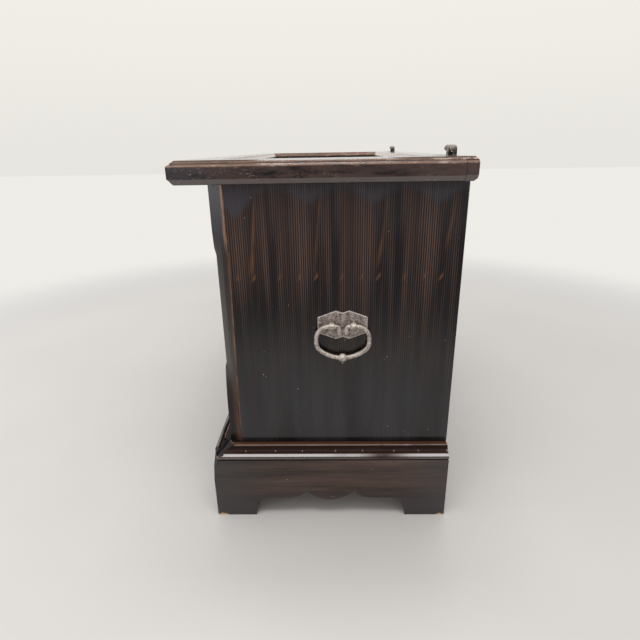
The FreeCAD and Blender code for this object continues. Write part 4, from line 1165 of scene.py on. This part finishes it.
FLOOR_SIZE = 12.0
FLOOR_PARTS = 24
FLOOR_COLOURS = ((0.58, 0.555, 0.53), (0.67, 0.65, 0.625))
FLOOR_FAR = (0.24, 0.25, 0.29)
FLOOR_FAR_FADE = (1.0, 1.9)
BACKDROP = (0.86, 0.84, 0.80, 1.0)
BACKDROP_FADE = (0.85, 1.9)
EVEN_LIGHT = (0.76, 0.76, 0.76)
GLOSS_BRIGHT = (1.0, 0.965, 0.92)
GLOSS_ROOM = (0.40, 0.405, 0.44)
ROOM_SIDE_FADE = (-0.1, 0.35)
ROOM_TOP_FADE = (0.85, 0.55)
WALL_COLOURS = ((0.80, 0.78, 0.74), (0.90, 0.875, 0.82))
WALL_FADE = (-0.1, 0.35)
# Each soft box has a name, a place, the point it faces, a width, a height and a radiance.
SOFT_BOXES = (
    ("overhead_near", (1.08, 0.0, 2.4), (0.98, 0.0, 0.3), 2.0, 0.6, 5.0),
    ("overhead_far", (-0.10, 0.0, 2.4), (-0.10, 0.0, 0.3), 0.36, 0.7, 11.0),
    ("front", (0.1, -2.6, 1.0), (0.0, 0.0, 0.35), 2.2, 1.6, 1.5),
)
# The camera, solved from the photo's perspective.
CAMERA_AT = (1.046006, 0.008553, 0.597685)
YAW, PITCH, ROLL = -0.0219, 0.3565, -0.0169
SENSOR = 36.0
FOCAL_PIXELS = 461.949
PHOTO_PIXELS = 640.0


def stage_floor():
    """A wide plain floor that fades into the pale backdrop away from the chest."""
    mesh = bmesh.new()
    bmesh.ops.create_grid(mesh, x_segments=FLOOR_PARTS, y_segments=FLOOR_PARTS, size=FLOOR_SIZE)
    data = bpy.data.meshes.new("floor")
    mesh.to_mesh(data)
    mesh.free()
    floor = bpy.data.objects.new("floor", data)
    scene.collection.objects.link(floor)
    net = new_material("floor_pale")
    place = net.place()
    point = net.vector(place["X"], place["Y"], place["Z"])
    cloud = net.noise(point, 2.2, detail=4.0)
    far = net.math("SQRT", place["X"] * place["X"] + place["Y"] * place["Y"])
    colour = net.mix(net.step(far, *FLOOR_FAR_FADE), net.mix(cloud, *FLOOR_COLOURS), FLOOR_FAR)
    normal = net.bump(net.noise(point, 60.0, detail=3.0), 0.2 * MM)
    data.materials.append(surface(net, {}, colour, cloud * 0.2 + 0.4, normal))
    seen = Val(net, net.node("ShaderNodeLightPath").outputs["Is Camera Ray"])
    glow = net.node("ShaderNodeEmission")
    glow.inputs["Color"].default_value = BACKDROP
    glow.inputs["Strength"].default_value = 1.0
    blend = net.node("ShaderNodeMixShader")
    net.feed(blend.inputs[0], net.step(far, *BACKDROP_FADE) * seen)
    net.tree.links.new(net.shader.outputs[0], blend.inputs[1])
    net.tree.links.new(glow.outputs[0], blend.inputs[2])
    net.tree.links.new(blend.outputs[0], net.tree.nodes["Material Output"].inputs["Surface"])


def world_light():
    """An even soft light, a pale backdrop for the camera, and a room that is darker in front for the gloss."""
    world = bpy.data.worlds.new("studio")
    scene.world = world
    world.use_nodes = True
    net = Net(world.node_tree)
    path = net.node("ShaderNodeLightPath")
    seen = Val(net, path.outputs["Is Camera Ray"])
    shiny = net.most(Val(net, path.outputs["Is Glossy Ray"]), Val(net, path.outputs["Is Transmission Ray"]))
    towards = net.coordinates("Generated")
    room = net.step(towards["X"], *ROOM_SIDE_FADE) * net.step(towards["Z"], *ROOM_TOP_FADE)
    gloss = net.mix(room, GLOSS_BRIGHT, GLOSS_ROOM)
    wall = net.mix(net.step(towards["Z"], *WALL_FADE), *WALL_COLOURS)
    colour = net.mix(seen, net.mix(shiny, EVEN_LIGHT, gloss), wall)
    ground = world.node_tree.nodes["Background"]
    net.feed(ground.inputs["Color"], colour)
    ground.inputs["Strength"].default_value = 1.0


def soft_box(name, at, towards, width, height, radiance):
    """A rectangular lamp that the camera doesn't see."""
    data = bpy.data.lights.new(name, "AREA")
    data.shape = "RECTANGLE"
    data.size = width
    data.size_y = height
    data.energy = radiance * math.pi * width * height
    lamp = bpy.data.objects.new(name, data)
    scene.collection.objects.link(lamp)
    lamp.location = at
    lamp.rotation_euler = (Vector(towards) - Vector(at)).to_track_quat("-Z", "Y").to_euler()
    lamp.visible_camera = False


def take_photo():
    """The camera, at the photograph's place and angle."""
    ahead = Vector((-math.cos(YAW) * math.cos(PITCH), math.sin(YAW) * math.cos(PITCH), -math.sin(PITCH)))
    right = Vector((math.sin(YAW), math.cos(YAW), 0.0))
    up = right.cross(ahead)
    across = right * math.cos(ROLL) + up * math.sin(ROLL)
    upward = up * math.cos(ROLL) - right * math.sin(ROLL)
    data = bpy.data.cameras.new("camera")
    data.sensor_width = SENSOR
    data.lens = SENSOR * FOCAL_PIXELS / PHOTO_PIXELS
    data.clip_start = 0.01
    data.clip_end = 60.0
    camera = bpy.data.objects.new("camera", data)
    scene.collection.objects.link(camera)
    turn = Matrix((across, upward, -ahead)).transposed()
    camera.matrix_world = Matrix.Translation(CAMERA_AT) @ turn.to_4x4()
    scene.camera = camera


stage_floor()
world_light()
for box in SOFT_BOXES:
    soft_box(*box)
take_photo()
scene.view_settings.view_transform = "Standard"
